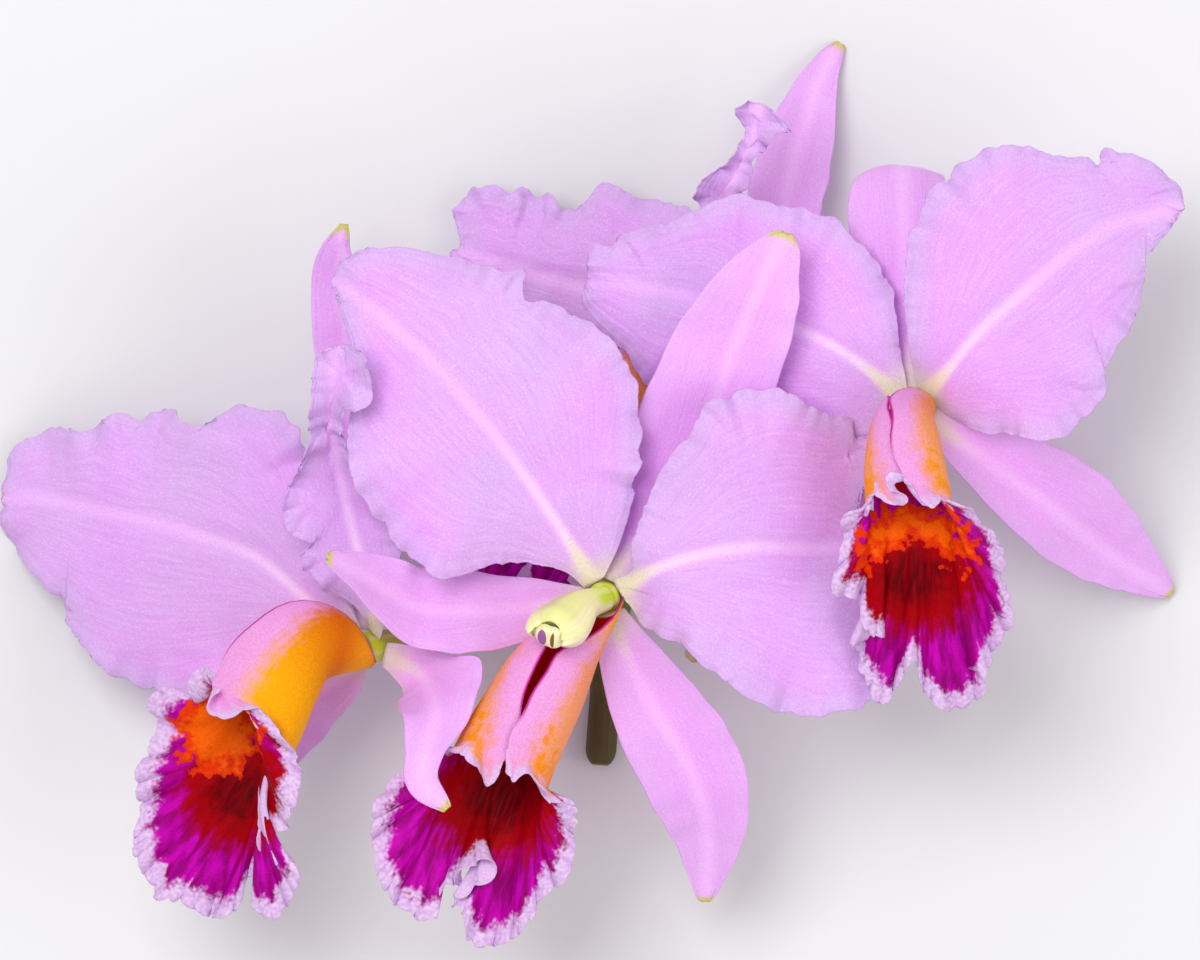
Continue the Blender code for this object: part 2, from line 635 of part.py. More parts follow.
def lip_seat(bloom):
    """Where the foot of the lip's keel meets the receptacle, on the side away from the slit."""
    facing = unit(bloom["facing"])
    dorsal = unit(bloom["lip"]["dorsal"][0])
    outward = unit((dorsal @ facing) * facing - dorsal)
    distance = RECEPTACLE_RADIUS + SEAT_GAP + LIP_THICKNESS / 2
    return np.asarray(bloom["centre"]) + distance * outward + LIP_LEVEL * facing


def lip_grid(bloom, tube_rows, bell_rows, columns):
    """The lip's middle surface: rows from foot to rim, columns round from slit edge to slit edge."""
    lip = bloom["lip"]
    along = np.linspace(0, 1, tube_rows + 1)
    round_ = np.linspace(-1, 1, columns + 1)
    seat = lip_seat(bloom)
    axis = even([seat + lip["radii"][0] * unit(lip["dorsal"][0]), *lip["axis"]], along)
    free = np.minimum(along * 4, 1)[:, None]
    tangents = unit(free * unit(np.gradient(axis, along, axis=0)) + (1 - free) * unit(bloom["facing"]))
    dorsal = square_to(smooth(lip["dorsal"], along), tangents)
    leftward = np.cross(tangents, dorsal)
    swing = lip["swing"] * np.sin(2 * math.pi * lengths_along(axis) / SEAM_LENGTH) * eased(along, 0.2, 0.5)
    angles = smooth(lip["opening"], along)[:, None] * round_ + swing[:, None] * np.abs(round_) ** 6
    angles = np.radians(angles)
    outward = -np.cos(angles)[..., None] * dorsal[:, None]
    outward -= np.sin(angles)[..., None] * leftward[:, None]
    lift = SEAM_LIFT * eased(along, 0.2, 0.6)[:, None] * np.abs(round_) ** 20
    radii = (smooth(lip["radii"], along)[:, None] + lift)[..., None]
    slant = lip["slant"] * (along**2)[:, None, None] * np.cos(angles)[..., None] * tangents[:, None]
    tube = axis[:, None] + radii * outward + slant
    tube += (1 - along[:, None, None]) ** 3 * (seat - tube[0, columns // 2])
    mouth = tube[-1]
    rim = smooth(lip["rim"], (round_ + 1) / 2)
    reach = np.linalg.norm(rim - mouth, axis=1, keepdims=True)
    bend = mouth + tangents[-1] * np.minimum(0.45 * reach, 9)
    part = np.linspace(0, 1, bell_rows + 1)[1:, None, None]
    bell = (1 - part) ** 2 * mouth + 2 * part * (1 - part) * bend + part**2 * rim
    grid = np.concatenate([tube, bell])
    frill = FRILL_HEIGHT * np.sin(2 * math.pi * lengths_along(rim) / FRILL_LENGTH)
    grid[-bell_rows:] += (part**2 * frill[:, None]) * across_grid(grid)[-bell_rows:]
    return grid


def column_path(bloom):
    """The column's middle line, straight where it leaves the receptacle, and where its back faces."""
    centre = np.asarray(bloom["centre"], float)
    facing = unit(bloom["facing"])
    foot, neck = centre + np.array((RECEPTACLE_TOP + SEAT_GAP, 2.8))[:, None] * facing
    path = np.concatenate([[foot], even([neck, *bloom["column"]], np.linspace(0, 1, 7))])
    lean = path[-1] - centre
    back = (lean @ facing) * facing - lean if bloom["column_back"] is None else bloom["column_back"]
    return path, np.asarray(back, float)


def add_column(name, bloom, look):
    """The club that stands on the receptacle, winged towards its tip."""
    path, back = column_path(bloom)
    size = bloom["column_width"]
    widths = size * smooth((2.4, 3.0, 4.9, 6.0, 4.6), np.linspace(0, 1, len(path)))
    depths = size * smooth((2.4, 2.8, 3.4, 3.8, 3.0), np.linspace(0, 1, len(path)))
    return loft(name, rings_along(path, widths, depths, back, sides=10), look)


def add_anther(name, bloom, look):
    """The lid at the column's tip: a low dome seated just off the column's end."""
    path, back = column_path(bloom)
    forward = unit(path[-1] - path[-2])
    steps = np.array((SEAT_GAP, 0.9, 1.5, 2.1))
    centres = path[-1] + steps[:, None] * forward
    sizes = bloom["column_width"] * np.array((3.1, 2.9, 2.2, 0.9))
    return loft(name, rings_along(centres, sizes, sizes * 0.8, back, sides=10), look)


def stem_path(places):
    """Points of the stem's middle line, its radii and its directions, at places from 0 to 1."""
    middle = np.array([(x, y, STEM_RADIUS - STEM_FLAT) for x, y in STEM_PATH])
    points = even(middle, places)
    tangents = unit(even(middle, np.minimum(places + 0.02, 1.02)) - even(middle, places - 0.02))
    return points, smooth(STEM_RADII, places), tangents


def pedicel_path(bloom):
    """The pedicel's middle line from the stem to the receptacle's top, straight at both ends."""
    centre = np.asarray(bloom["centre"], float)
    facing = unit(bloom["facing"])
    place, leaving = bloom["joins_stem"]
    joint, radius, tangent = (value[0] for value in stem_path(np.array([place])))
    leaving = tangent if leaving is None else unit(leaving)
    reach = SEAT_GAP + (0 if leaving is tangent else radius)
    foot, collar = joint + np.array((reach, reach + 2.5))[:, None] * leaving
    neck = centre - 4.0 * facing
    route = even([collar, *reversed(bloom["pedicel"]), neck], np.linspace(0, 1, 11))
    head = centre + np.array((-2.4, RECEPTACLE_TOP - 0.4, RECEPTACLE_TOP))[:, None] * facing
    return np.concatenate([[foot], route, head])


def add_pedicel(name, bloom, look):
    """The bloom's own stalk, swelling into the ovary and the receptacle that carry the bloom."""
    path = pedicel_path(bloom)
    swelling = smooth((PEDICEL_RADIUS, PEDICEL_RADIUS, 2.1, 2.7, 3.0), np.linspace(0, 1, len(path) - 3))
    radii = np.concatenate([swelling, (RECEPTACLE_RADIUS, RECEPTACLE_RADIUS, 2.6)])
    return loft(name, rings_along(path, radii, radii, (0.3, 1.0, 0.2), sides=10), look)


def add_bract(name, bloom, look):
    """The small papery scale that clasps the foot of a pedicel on its lower side."""
    path = pedicel_path(bloom)[:4]
    rows = np.linspace(0, 1, 5)
    axis = even(path, rows * BRACT_LENGTH / lengths_along(path)[-1])
    tangents = unit(np.gradient(axis, axis=0))
    down = square_to(np.broadcast_to(BRACT_SIDE, axis.shape), tangents)
    side = np.cross(tangents, down)
    clasp = np.radians(smooth((62, 66, 54, 34, 8), rows))[:, None] * np.linspace(-1, 1, 5)
    radius = PEDICEL_RADIUS + SEAT_GAP + BRACT_THICKNESS / 2 + 0.2 + BRACT_FLARE * rows**2
    outward = np.cos(clasp)[..., None] * down[:, None] + np.sin(clasp)[..., None] * side[:, None]
    return sheet(name, axis[:, None] + radius[:, None, None] * outward, BRACT_THICKNESS, look)


def add_stem(look):
    """The flower stem, flat underneath where it lies on the surface."""
    path, radii, _ = stem_path(np.linspace(0, 1, 14))
    rings = rings_along(path, radii, radii, UP, sides=10)
    rings[..., 2] = np.maximum(rings[..., 2], 0)
    return loft("flower_stem", rings, look)


def add_bloom(name, bloom, looks):
    for blade_name, blade in bloom["blades"].items():
        look = looks["petal" if "petal" in blade_name else "sepal"]
        sheet(f"{name}_{blade_name}", blade_grid(bloom, blade), blade["thickness"], look)
    lip = lip_grid(bloom, tube_rows=6, bell_rows=5, columns=34)
    sheet(f"{name}_lip", lip, LIP_THICKNESS, looks["lip"])
    add_column(f"{name}_column", bloom, looks["column"])
    add_anther(f"{name}_anther_cap", bloom, looks["anther"])
    add_pedicel(f"{name}_pedicel", bloom, looks["pedicel"])
    add_bract(f"{name}_bract", bloom, looks["bract"])


def main():
    for old in list(bpy.data.objects):
        bpy.data.objects.remove(old)
    looks = {name: material(name) for name in COLOURS}
    add_stem(looks["stem"])
    for name, bloom in BLOOMS.items():
        add_bloom(name, bloom, looks)


main()
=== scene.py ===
# %% [markdown]
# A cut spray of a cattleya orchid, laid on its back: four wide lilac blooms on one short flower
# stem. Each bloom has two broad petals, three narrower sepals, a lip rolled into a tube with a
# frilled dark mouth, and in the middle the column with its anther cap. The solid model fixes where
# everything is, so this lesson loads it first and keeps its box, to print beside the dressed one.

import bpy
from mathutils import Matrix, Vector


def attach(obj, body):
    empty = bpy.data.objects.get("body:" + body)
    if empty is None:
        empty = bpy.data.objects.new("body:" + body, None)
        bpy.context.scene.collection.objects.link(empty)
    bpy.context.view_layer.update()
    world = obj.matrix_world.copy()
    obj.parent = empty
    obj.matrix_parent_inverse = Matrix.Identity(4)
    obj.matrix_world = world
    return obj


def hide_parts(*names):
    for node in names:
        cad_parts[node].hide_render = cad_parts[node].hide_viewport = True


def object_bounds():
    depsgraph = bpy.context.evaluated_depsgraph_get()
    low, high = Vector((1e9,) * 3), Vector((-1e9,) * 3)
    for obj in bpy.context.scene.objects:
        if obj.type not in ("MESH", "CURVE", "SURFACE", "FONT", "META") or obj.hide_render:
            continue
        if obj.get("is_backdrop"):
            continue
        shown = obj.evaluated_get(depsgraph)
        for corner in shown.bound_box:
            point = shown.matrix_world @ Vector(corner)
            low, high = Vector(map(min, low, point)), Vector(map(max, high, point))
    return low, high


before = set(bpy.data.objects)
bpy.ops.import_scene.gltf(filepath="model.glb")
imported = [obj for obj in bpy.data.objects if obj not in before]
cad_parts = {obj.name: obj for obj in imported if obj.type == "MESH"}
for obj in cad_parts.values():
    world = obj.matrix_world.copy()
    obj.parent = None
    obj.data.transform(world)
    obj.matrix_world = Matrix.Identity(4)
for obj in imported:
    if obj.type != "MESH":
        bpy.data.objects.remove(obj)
solid_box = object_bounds()
print("solid nodes:", len(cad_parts))

# %% [markdown]
# Numbers are in millimetres until a mesh is made, because petals are measured that way. The spray
# was drawn round its middle bloom, and one small shift puts the middle of its box on the origin.

# %% Units and tools
import math

import bpy
import numpy as np

MM = 0.001
TO_ORIGIN = np.array((0.25, -0.27, 0.0))
UP = np.array((0.0, 0.0, 1.0))

# %% [markdown]
# Natural shapes have few straight lines, so almost everything here hangs on smooth curves through
# a few points. Blender's own curve objects could hold them. Plain arithmetic is used instead, since
# every blade needs its surface known at each point, to place colours and frills on it.

# %% Smooth curves


def unit(vectors):
    """Vectors of length one, along the last axis."""
    vectors = np.asarray(vectors, float)
    return vectors / np.linalg.norm(vectors, axis=-1, keepdims=True)


def smooth(values, at):
    """A smooth curve through evenly spaced values, read at places from 0 to 1."""
    values = np.asarray(values, float)
    values = np.concatenate([[2 * values[0] - values[1]], values, [2 * values[-1] - values[-2]]])
    at = np.clip(at, 0, 1) * (len(values) - 3)
    first = np.minimum(at.astype(int), len(values) - 4)
    part = at - first
    if values.ndim > 1:
        part = part[:, None]
    a, b, c, d = (values[first + step] for step in range(4))
    return b + 0.5 * part * (c - a + part * (2 * a - 5 * b + 4 * c - d + part * (3 * (b - c) + d - a)))


def lengths_along(points):
    """How far along the line each of its points is."""
    return np.concatenate([[0], np.cumsum(np.linalg.norm(np.diff(points, axis=0), axis=1))])


def stages_along(points):
    """How far along the line each of its points is, from 0 to 1."""
    length = lengths_along(points)
    return length / length[-1]


def even(points, at):
    """Points of the smooth curve through these, at even parts of its length from 0 to 1."""
    fine = smooth(points, np.linspace(0, 1, 400))
    length = lengths_along(fine)
    return np.stack([np.interp(at * length[-1], length, axis) for axis in fine.T], axis=1)


def square_to(directions, tangents):
    """The part of each direction that is square to its tangent, at length one."""
    along = (directions * tangents).sum(axis=1, keepdims=True)
    return unit(directions - along * tangents)


def eased(values, start, end):
    """0 before start and 1 after end, with a soft step between."""
    part = np.clip((values - start) / (end - start), 0, 1)
    return part * part * (3 - 2 * part)


def bump(values, place, spread):
    """A soft bump of height one at a place among the values."""
    return np.exp(-(((values - place) / spread) ** 2))


print("a curve through 0, 1, 0 is", smooth((0, 1, 0), np.array([0.25]))[0], "a quarter of the way")

# %% [markdown]
# A petal is a sheet about half a millimetre thick. A Solidify modifier could thicken a single
# surface, but here the two skins need different colours and the margin should thin out to a soft
# edge. So each blade is built as a front skin, a back skin and a narrow wall between their borders.
# Numbers that the colours need, such as the distance to the margin, are stored on every point.

# %% Thin blades with two skins
made = []


def across_grid(grid):
    """The unit vector square to the grid's surface at each of its points."""
    return unit(np.cross(np.gradient(grid, axis=1), np.gradient(grid, axis=0)))


def new_piece(name, points, faces, values, look):
    """A piece in metres that rides on the spray and stands for the solid of the same name."""
    mesh = bpy.data.meshes.new(name)
    mesh.from_pydata(((points + TO_ORIGIN) * MM).tolist(), [], faces)
    mesh.shade_smooth()
    mesh.materials.append(look)
    for label, numbers in values.items():
        stored = mesh.attributes.new(label, "FLOAT", "POINT")
        stored.data.foreach_set("value", np.asarray(numbers, np.float32).ravel())
    piece = bpy.data.objects.new(f"{name}_piece", mesh)
    bpy.context.scene.collection.objects.link(piece)
    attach(piece, "root")
    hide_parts(name)
    made.append(piece)


def border_of(rows, columns):
    """The numbers of a grid's border points, counter-clockwise as seen from its front."""
    grid = np.arange(rows * columns).reshape(rows, columns)
    return np.concatenate([grid[0, :-1], grid[:-1, -1], grid[-1, :0:-1], grid[:0:-1, 0]])


def thin_blade(name, middle, thickness, values, look):
    """A closed blade round a grid of middle points, thinner along its margin."""
    rows, columns = middle.shape[:2]
    half = 0.5 * thickness * (0.45 + 0.55 * np.clip(values["edge"] / 1.5, 0, 1))
    step = across_grid(middle) * half[..., None]
    points = np.concatenate([(middle + step).reshape(-1, 3), (middle - step).reshape(-1, 3)])
    count = rows * columns
    corner = np.arange(count).reshape(rows, columns)[:-1, :-1].ravel()
    front = np.stack([corner, corner + 1, corner + 1 + columns, corner + columns], axis=1)
    border = border_of(rows, columns)
    after = np.roll(border, -1)
    wall = np.stack([after, border, border + count, after + count], axis=1)
    faces = np.concatenate([front, front[:, ::-1] + count, wall])
    doubled = {label: np.tile(np.ravel(numbers), 2) for label, numbers in values.items()}
    doubled["front"] = np.repeat((1.0, 0.0), count)
    new_piece(name, points, faces.tolist(), doubled, look)


# %% [markdown]
# Petals and sepals are measured like leaves: a midrib in space, and how wide the blade is to its
# left and right from foot to tip. A sepal needs only its half widths. A petal's margin is too
# wayward for that, so it is traced on each side of the midrib, and the depths come from how such a
# bloom is built. Small helpers fill in what petals, sepals, lips and blooms have in common.

# %% What the blooms share
BLOOMS = {}
SEPAL_PROFILE = np.array((0.28, 0.62, 0.88, 1.0, 0.95, 0.74, 0.46))


def petal(midrib, left, right, **more):
    """A petal: its midrib after the foot, and its margins or half widths from foot to tip."""
    shape = {
        "level": -0.6,
        "blunt": 8,
        "cup": -0.12,
        "face": [UP, UP],
        "groove": 0.8,
        "ruffles": [(1.3, 27.0, 0.0), (0.7, 15.0, 1.3)],
        "crimps": [(0.95, 8.5, 4.5, 0.4), (0.5, 3.9, 1.9, 1.9), (0.25, 2.1, 1.0, 3.1)],
        "thickness": 0.55,
        "grid": (140, 76),
    }
    return {**shape, "midrib": midrib, "left": left, "right": right, **more}


def sepal(midrib, left, right, **more):
    """A sepal: the same, where one half width for a side stands for the profile that sepals share."""
    shape = {
        "level": -2.2,
        "blunt": 3.5,
        "cup": 0.12,
        "face": [UP, UP],
        "groove": 0.3,
        "ruffles": [],
        "crimps": [(0.3, 11.0, 4.0, 0.8)],
        "thickness": 0.7,
        "grid": (80, 32),
    }
    left, right = (width if np.ndim(width) else width * SEPAL_PROFILE for width in (left, right))
    return {**shape, "midrib": midrib, "left": left, "right": right, **more}


def rolled_lip(**more):
    """A lip: its tube's axis, radii and opening, its rim, and where its colours lie."""
    return {"wedge": None, "frill": 1.0, "closed_from": 0.55, "steer": [], "slant": 3.0, **more}


def add_bloom(name, **parts):
    """Keeps a bloom's measures. Its column is slim and faces as it leans, unless they say otherwise."""
    BLOOMS[name] = {"column_back": None, "column_width": 0.74, **parts}


def add_blades(name, **blades):
    """Keeps the measures of a bloom's petals and sepals."""
    BLOOMS[name]["blades"] = blades
    print(name, "has", len(blades), "blades round", BLOOMS[name]["centre"])


print("a sepal is widest", np.argmax(SEPAL_PROFILE) / (len(SEPAL_PROFILE) - 1), "of the way to its tip")

# %% [markdown]
# The middle bloom faces the viewer and stands highest, so it is the one to measure first. Its lip
# comes down and to the left under the column, and its right petal lies over the dorsal sepal.

# %% The middle bloom
add_bloom(
    "middle_bloom",
    centre=(2.2, -21.2, 55),
    facing=(-0.08, -0.12, 1),
    lip=rolled_lip(
        heart=((-18.8, -61.6), (11.5, 10.5)),
        blaze=None,
        warm=(0.66, 0.75, 0.84),
        gold=0.15,
        axis=[(-4.4, -31.6, 58.4), (-10, -39.6, 59.2), (-15.6, -49.6, 60), (-18, -54.6, 60.4)],
        dorsal=[(-0.35, 0.3, 0.9), (-0.25, 0.1, 0.95), (0, 0, 1)],
        radii=[4.3, 6.4, 8.6, 9.4, 10],
        opening=[56, 122, 166, 172, 176, 179, 178],
        closed_from=0.72,
        swing=0.8,
        rim=[(-17.6, -54, 71), (-18.4, -57, 71.5), (-20.6, -58.8, 71.5), (-22.6, -55.8, 70),
             (-24.8, -53.4, 68), (-28.6, -52, 64), (-32.4, -52.6, 60), (-37, -54.8, 58), (-40.4, -58, 56),
             (-42.4, -63.6, 55.5), (-44, -70.6, 55), (-42.2, -77.4, 54.5), (-39.6, -82, 54), (-35, -85, 53),
             (-31, -84.6, 52), (-29.4, -78.8, 54), (-22.4, -74.8, 56), (-22.6, -78.4, 56),
             (-26.2, -82, 54.5), (-26, -87.4, 53), (-22.4, -90.8, 52), (-16.6, -89.6, 52.5),
             (-12.2, -85.4, 54), (-9.8, -80.8, 55), (-5.6, -76.4, 56), (-3.4, -71.4, 57), (-3.4, -66, 59),
             (-4.6, -60.8, 62), (-9.2, -62.2, 65), (-8.8, -58.4, 69), (-12.6, -56, 71), (-15.6, -57.8, 71),
             (-17, -54.4, 71)],
    ),
    column=[(-2.6, -23.2, 62.6), (-6.2, -26.4, 67), (-8.2, -28.4, 70.2)],
    column_back=(0.2, 1, 0.3),
    column_width=1,
    pedicel=[(2.4, -20.8, 46), (3, -18.6, 30), (5, -15, 16)],
    joins_stem=(0.6, (-0.1, 0.1, 1)),
)
add_blades(
    "middle_bloom",
    left_petal=petal(
        [(-9.4, -2.6, 60), (-20.4, 12.4, 62), (-34.4, 28.4, 60), (-52.4, 42.6, 54)],
        [(-5.2, -16), (-9.4, -14.8), (-18.4, -14.6), (-24.4, -16.2), (-30.8, -17.2), (-36.4, -13.6),
         (-43.4, -4.6), (-48.4, 4.4), (-49.4, 12.4), (-48, 20.4), (-48.4, 28.4), (-50.4, 36.4)],
        [(4, -13.6), (6.6, -7.6), (9.2, 2.4), (9.6, 12.4), (9, 21.4), (5.6, 28.4), (-0.4, 33.4),
         (-8.4, 38.4), (-12.8, 38.8), (-14.4, 44.4), (-18.4, 44.4), (-24.4, 46), (-30.4, 48), (-38.4, 49.2),
         (-44.4, 48.8), (-49.4, 46.8)],
    ),
    right_petal=petal(
        [(15.6, -14.2, 61), (29.6, -11.2, 60.5), (43.6, -11.2, 56), (57.4, -11, 48.5)],
        [(8, -15.6), (8, -10.2), (10.2, -3.6), (15, 5.8), (21.6, 15.8), (23.6, 18), (30.2, 20), (37, 19.8),
         (41.6, 18.4), (44.6, 16.8), (48.2, 15.4), (52, 15), (52.6, 11), (57, 10.8), (55, 5), (54, -1.6),
         (55.6, -7.6)],
        [(10.2, -26), (13.6, -28.2), (17.6, -30.2), (21, -33.6), (24.2, -36), (29, -40), (34.2, -42.2),
         (39, -44.2), (45, -45.2), (49.6, -44.2), (54.2, -42.2), (56.6, -40.2), (57.4, -34), (58.6, -27),
         (59, -20), (57.8, -14)],
        blunt=24,
        cup=0.01,
    ),
    dorsal_sepal=sepal(
        [(6.6, -12.6, 52.5), (13.6, -2.6, 51), (21.6, 10.4, 51), (27.8, 27.4, 53.2), (33.6, 41.4, 56),
         (38.6, 51.8, 56)],
        [(3.2, -13.6), (3.8, -7.6), (5.2, 0.4), (7.2, 10.4), (10.2, 19), (13, 24.4), (15.6, 31),
         (20.2, 37.8), (25.6, 44.4), (31, 49), (35.6, 51.8)],
        [(9.6, -16.6), (15.2, -9.6), (21.6, -0.6), (28.6, 8.4), (34.6, 15.4), (37, 21.4), (39.6, 29.8),
         (41.2, 37), (41.4, 43), (41.4, 48.4), (40.2, 51.2)],
    ),
    left_lateral_sepal=sepal(
        [(-10.4, -22.8, 49.5), (-22.4, -24, 51), (-34.4, -23.2, 55), (-44.4, -17.6, 63), (-53, -13, 72)],
        9.5, 9,
        face=[(0, 0, 1), (0, 0.35, 0.93), (0.4, 0.3, 0.85)],
    ),
    right_lateral_sepal=sepal(
        [(7, -32.6, 49), (12.6, -43.6, 46), (19.6, -55.6, 40), (23.2, -67.6, 31), (22.8, -82.2, 20)],
        11, 10.5,
    ),
)

# %% [markdown]
# The left bloom looks away to the left. One petal is seen flat and the other edge on, curled into
# a crumpled channel beside the middle bloom, and its lip swings out and down in a wide bend.

# %% The left bloom
LEFT_MOUTH = np.array((-67.4, -44.8, 59))
LEFT_RIM = [(-76, -36.2, 63), (-78.6, -35.4, 60), (-80.2, -37.4, 57), (-78.4, -41.4, 54), (-80.6, -40, 51),
            (-84.2, -39.2, 49), (-87.2, -41.2, 47), (-88, -48.4, 46), (-89.4, -55.4, 45),
            (-90.6, -62, 44.5), (-91.4, -69.6, 44), (-90, -76.4, 44), (-86.6, -81.2, 44),
            (-81.6, -81.6, 45), (-77, -85, 46), (-71.8, -83.6, 48), (-68.4, -76.6, 51), (-66.2, -80, 53.5),
            (-64.4, -85.4, 56), (-60.8, -82.4, 58), (-59, -76.6, 60), (-62.4, -71.4, 60),
            (-65.2, -72.4, 57), (-64.9, -68.2, 58), (-62.6, -67.6, 63), (-59.6, -62.8, 66),
            (-58, -56.8, 67), (-60, -51, 69), (-62.4, -46.8, 70), (-66.2, -43.8, 71), (-69.6, -44.6, 71),
            (-74.6, -43.6, 69.5), (-74.8, -39, 68)]
LEFT_DORSAL = [(-0.1, 0.9, 0.45), (-0.5, 0.8, 0.4), (-0.8, 0.5, 0.35)]
add_bloom(
    "left_bloom",
    centre=(-45.4, -31.2, 45),
    facing=(-0.7, -0.1, 0.7),
    lip=rolled_lip(
        heart=((-71, -59.6), (10, 10.5)),
        blaze=((-74.6, -48.2), (8.6, 8.6)),
        warm=(1.3, 0.76, 0.74),
        gold=1,
        axis=[(-53.5, -29.9, 50.5), (-59, -31.2, 54), (-63.6, -36.6, 57), LEFT_MOUTH],
        dorsal=LEFT_DORSAL,
        radii=[4.4, 7.2, 9, 9.9, 10],
        opening=[60, 138, 174, 178, 179, 179, 178],
        swing=2,
        steer=[(0.2, 0.2, (-8, -5, -1)), (0.43, 0.1, (0, 0, -10))],
        rim=LEFT_RIM,
    ),
    column=[(-53.6, -29.6, 52), (-58.6, -31.6, 56), (-62.6, -35.2, 59)],
    pedicel=[(-38, -30.2, 37), (-26, -28.6, 22), (-10, -26.6, 11.5)],
    joins_stem=(0.4, (-0.75, 0, 0.65)),
)
add_blades(
    "left_bloom",
    left_petal=petal(
        [(-55.5, -23.2, 38), (-68.4, -12.6, 32), (-82.6, -7.6, 26), (-97, -4, 18), (-111.2, -1.2, 8),
         (-118.4, -2, 2)],
        [(-54.4, -32.6), (-64.4, -37.6), (-76, -41.4), (-87.6, -40.4), (-93.4, -38.2), (-99.8, -34),
         (-104.2, -29.8), (-107.4, -25.8), (-105.2, -23.2), (-107.6, -21.2), (-111.2, -18), (-114.2, -14.8),
         (-118.2, -11.8), (-118.6, -5.6)],
        [(-52.4, -13.6), (-54.8, -1.6), (-57, 8.8), (-61.2, 14.6), (-68.4, 17), (-72.8, 17.4),
         (-75.6, 15.6), (-78.4, 13.2), (-82.6, 13.8), (-86.2, 16.6), (-89.8, 16.4), (-92, 14.6),
         (-95.6, 16.6), (-99.2, 13.4), (-104.2, 12), (-109.8, 12.8), (-115.6, 10.6), (-118, 7)],
        face=[(-0.45, -0.1, 0.85), (-0.3, 0, 0.95), (-0.4, 0, 0.9)],
        cup=-0.05,
        blunt=20,
    ),
    right_petal=petal(
        [(-43.2, -25.2, 48), (-45.6, -16, 47), (-48.8, -5, 47), (-51, 5, 50.5), (-52.4, 13.5, 57),
         (-51.8, 21.4, 63.5), (-51.4, 29, 66)],
        [(-45, -26.4), (-48, -22.2), (-53.4, -19.2), (-58, -13.4), (-55.8, -9), (-59.8, -6.6), (-61.6, 0.6),
         (-58.8, 5.4), (-56.2, 10.8), (-55.8, 18.4), (-55.2, 26.4)],
        [(-38, -16), (-38, -8), (-41.4, 2), (-48.4, 8.4), (-49.8, 13.4), (-48, 17.4), (-44.4, 19.4),
         (-44, 25.8), (-48.8, 29.4)],
        cup=0.3,
        blunt=12,
        face=[(-0.25, 0, 0.95), (-0.1, 0, 0.95)],
        ruffles=[(0.9, 12, 0), (0.5, 6.3, 1.3)],
    ),
    dorsal_sepal=sepal(
        [(-43.8, -23.5, 41.5), (-45.6, -12, 33), (-47.8, 10.4, 28), (-49, 28.4, 26), (-50.4, 42, 26),
         (-49.8, 53.8, 28)],
        [(-51.4, -13.6), (-50.4, -5.6), (-52.4, 8.4), (-54.8, 21.4), (-56.2, 32.4), (-56.4, 40.4),
         (-55.8, 46), (-54, 50), (-51.4, 52.8)],
        [(-41.4, -13.6), (-40.8, -1.6), (-40.8, 12.4), (-42.4, 26.4), (-44.4, 36.4), (-47.2, 44),
         (-48.6, 48.4), (-48.8, 52)],
    ),
    left_lateral_sepal=sepal(
        [(-49.4, -36, 36), (-57.8, -41.6, 30), (-64.4, -50.6, 25), (-69.4, -61.6, 21)],
        8.5, 8.5,
    ),
    right_lateral_sepal=sepal(
        [(-38.5, -33.8, 47), (-33.6, -37.2, 51), (-31.4, -43.6, 62.2), (-33, -51.6, 68.5),
         (-33.6, -57.6, 70), (-28.8, -63.2, 71)],
        [2.5, 4.5, 7, 12.2, 9, 5.5, 4, 4.5, 3],
        [2.5, 4.5, 7.2, 7.2, 7, 6, 4.6, 4.7, 3],
        face=[(-0.2, 0, 1), (-0.1, 0, 1), (-0.1, 0.1, 1)],
    ),
)

# %% [markdown]
# The right bloom looks up the spray. Its lip stands out towards the viewer and opens downwards,
# with the lobe spread like a ruffled bib.

# %% The right bloom
add_bloom(
    "right_bloom",
    centre=(64.6, 16.8, 48),
    facing=(0.15, 0.1, 1),
    lip=rolled_lip(
        heart=((64.2, -16.8), (11.8, 10)),
        blaze=((64, -10.4), (11.6, 8)),
        wedge=((64.4, -9.2), 0.7),
        warm=(0.60, 0.76, 0.80),
        gold=0.3,
        axis=[(62.6, 15, 58), (62.2, 10.4, 65), (62.4, 4.4, 69), (63, -1.6, 71)],
        dorsal=[(-0.6, 0.7, 0.3), (-0.4, 0.7, 0.6), (-0.1, 0.3, 0.95)],
        radii=[4.2, 5.2, 6.6, 7.8, 8.4],
        opening=[60, 142, 176, 178, 179, 179, 178],
        swing=2.5,
        slant=2,
        rim=[(62.2, 2.6, 80), (59.2, 3.2, 80), (62, -1.4, 81), (59.4, -2.4, 79), (56, -1, 76),
             (54.8, -4.6, 74), (52, -3.6, 72), (50, -7.6, 70), (49.4, -13, 68), (49.2, -18.8, 66),
             (52.4, -20.4, 64), (53.8, -25.6, 62), (56.6, -29.4, 60), (52.4, -30.6, 57), (54.8, -36.8, 55),
             (58.6, -42.2, 54), (63.6, -33.2, 58), (65.6, -37.6, 56.5), (68, -41.8, 54), (72.4, -43.4, 52),
             (77.4, -41.6, 52.5), (78.4, -38, 54), (77.2, -36, 55.5), (80.2, -32.8, 56), (82, -27.6, 58),
             (82.8, -21.6, 60.5), (82.4, -15.6, 63), (80, -9.6, 66), (77.4, -4.6, 69), (74.2, -2.6, 73),
             (69.8, -1.4, 77), (66.6, -3.6, 79.5), (63.4, 2.2, 80)],
    ),
    column=[(62.8, 15.6, 57), (62.1, 12, 62.5), (62, 7.6, 66)],
    pedicel=[(63.4, 15.8, 39), (56, 14.4, 25), (41, 14.6, 11)],
    joins_stem=(1, None),
)
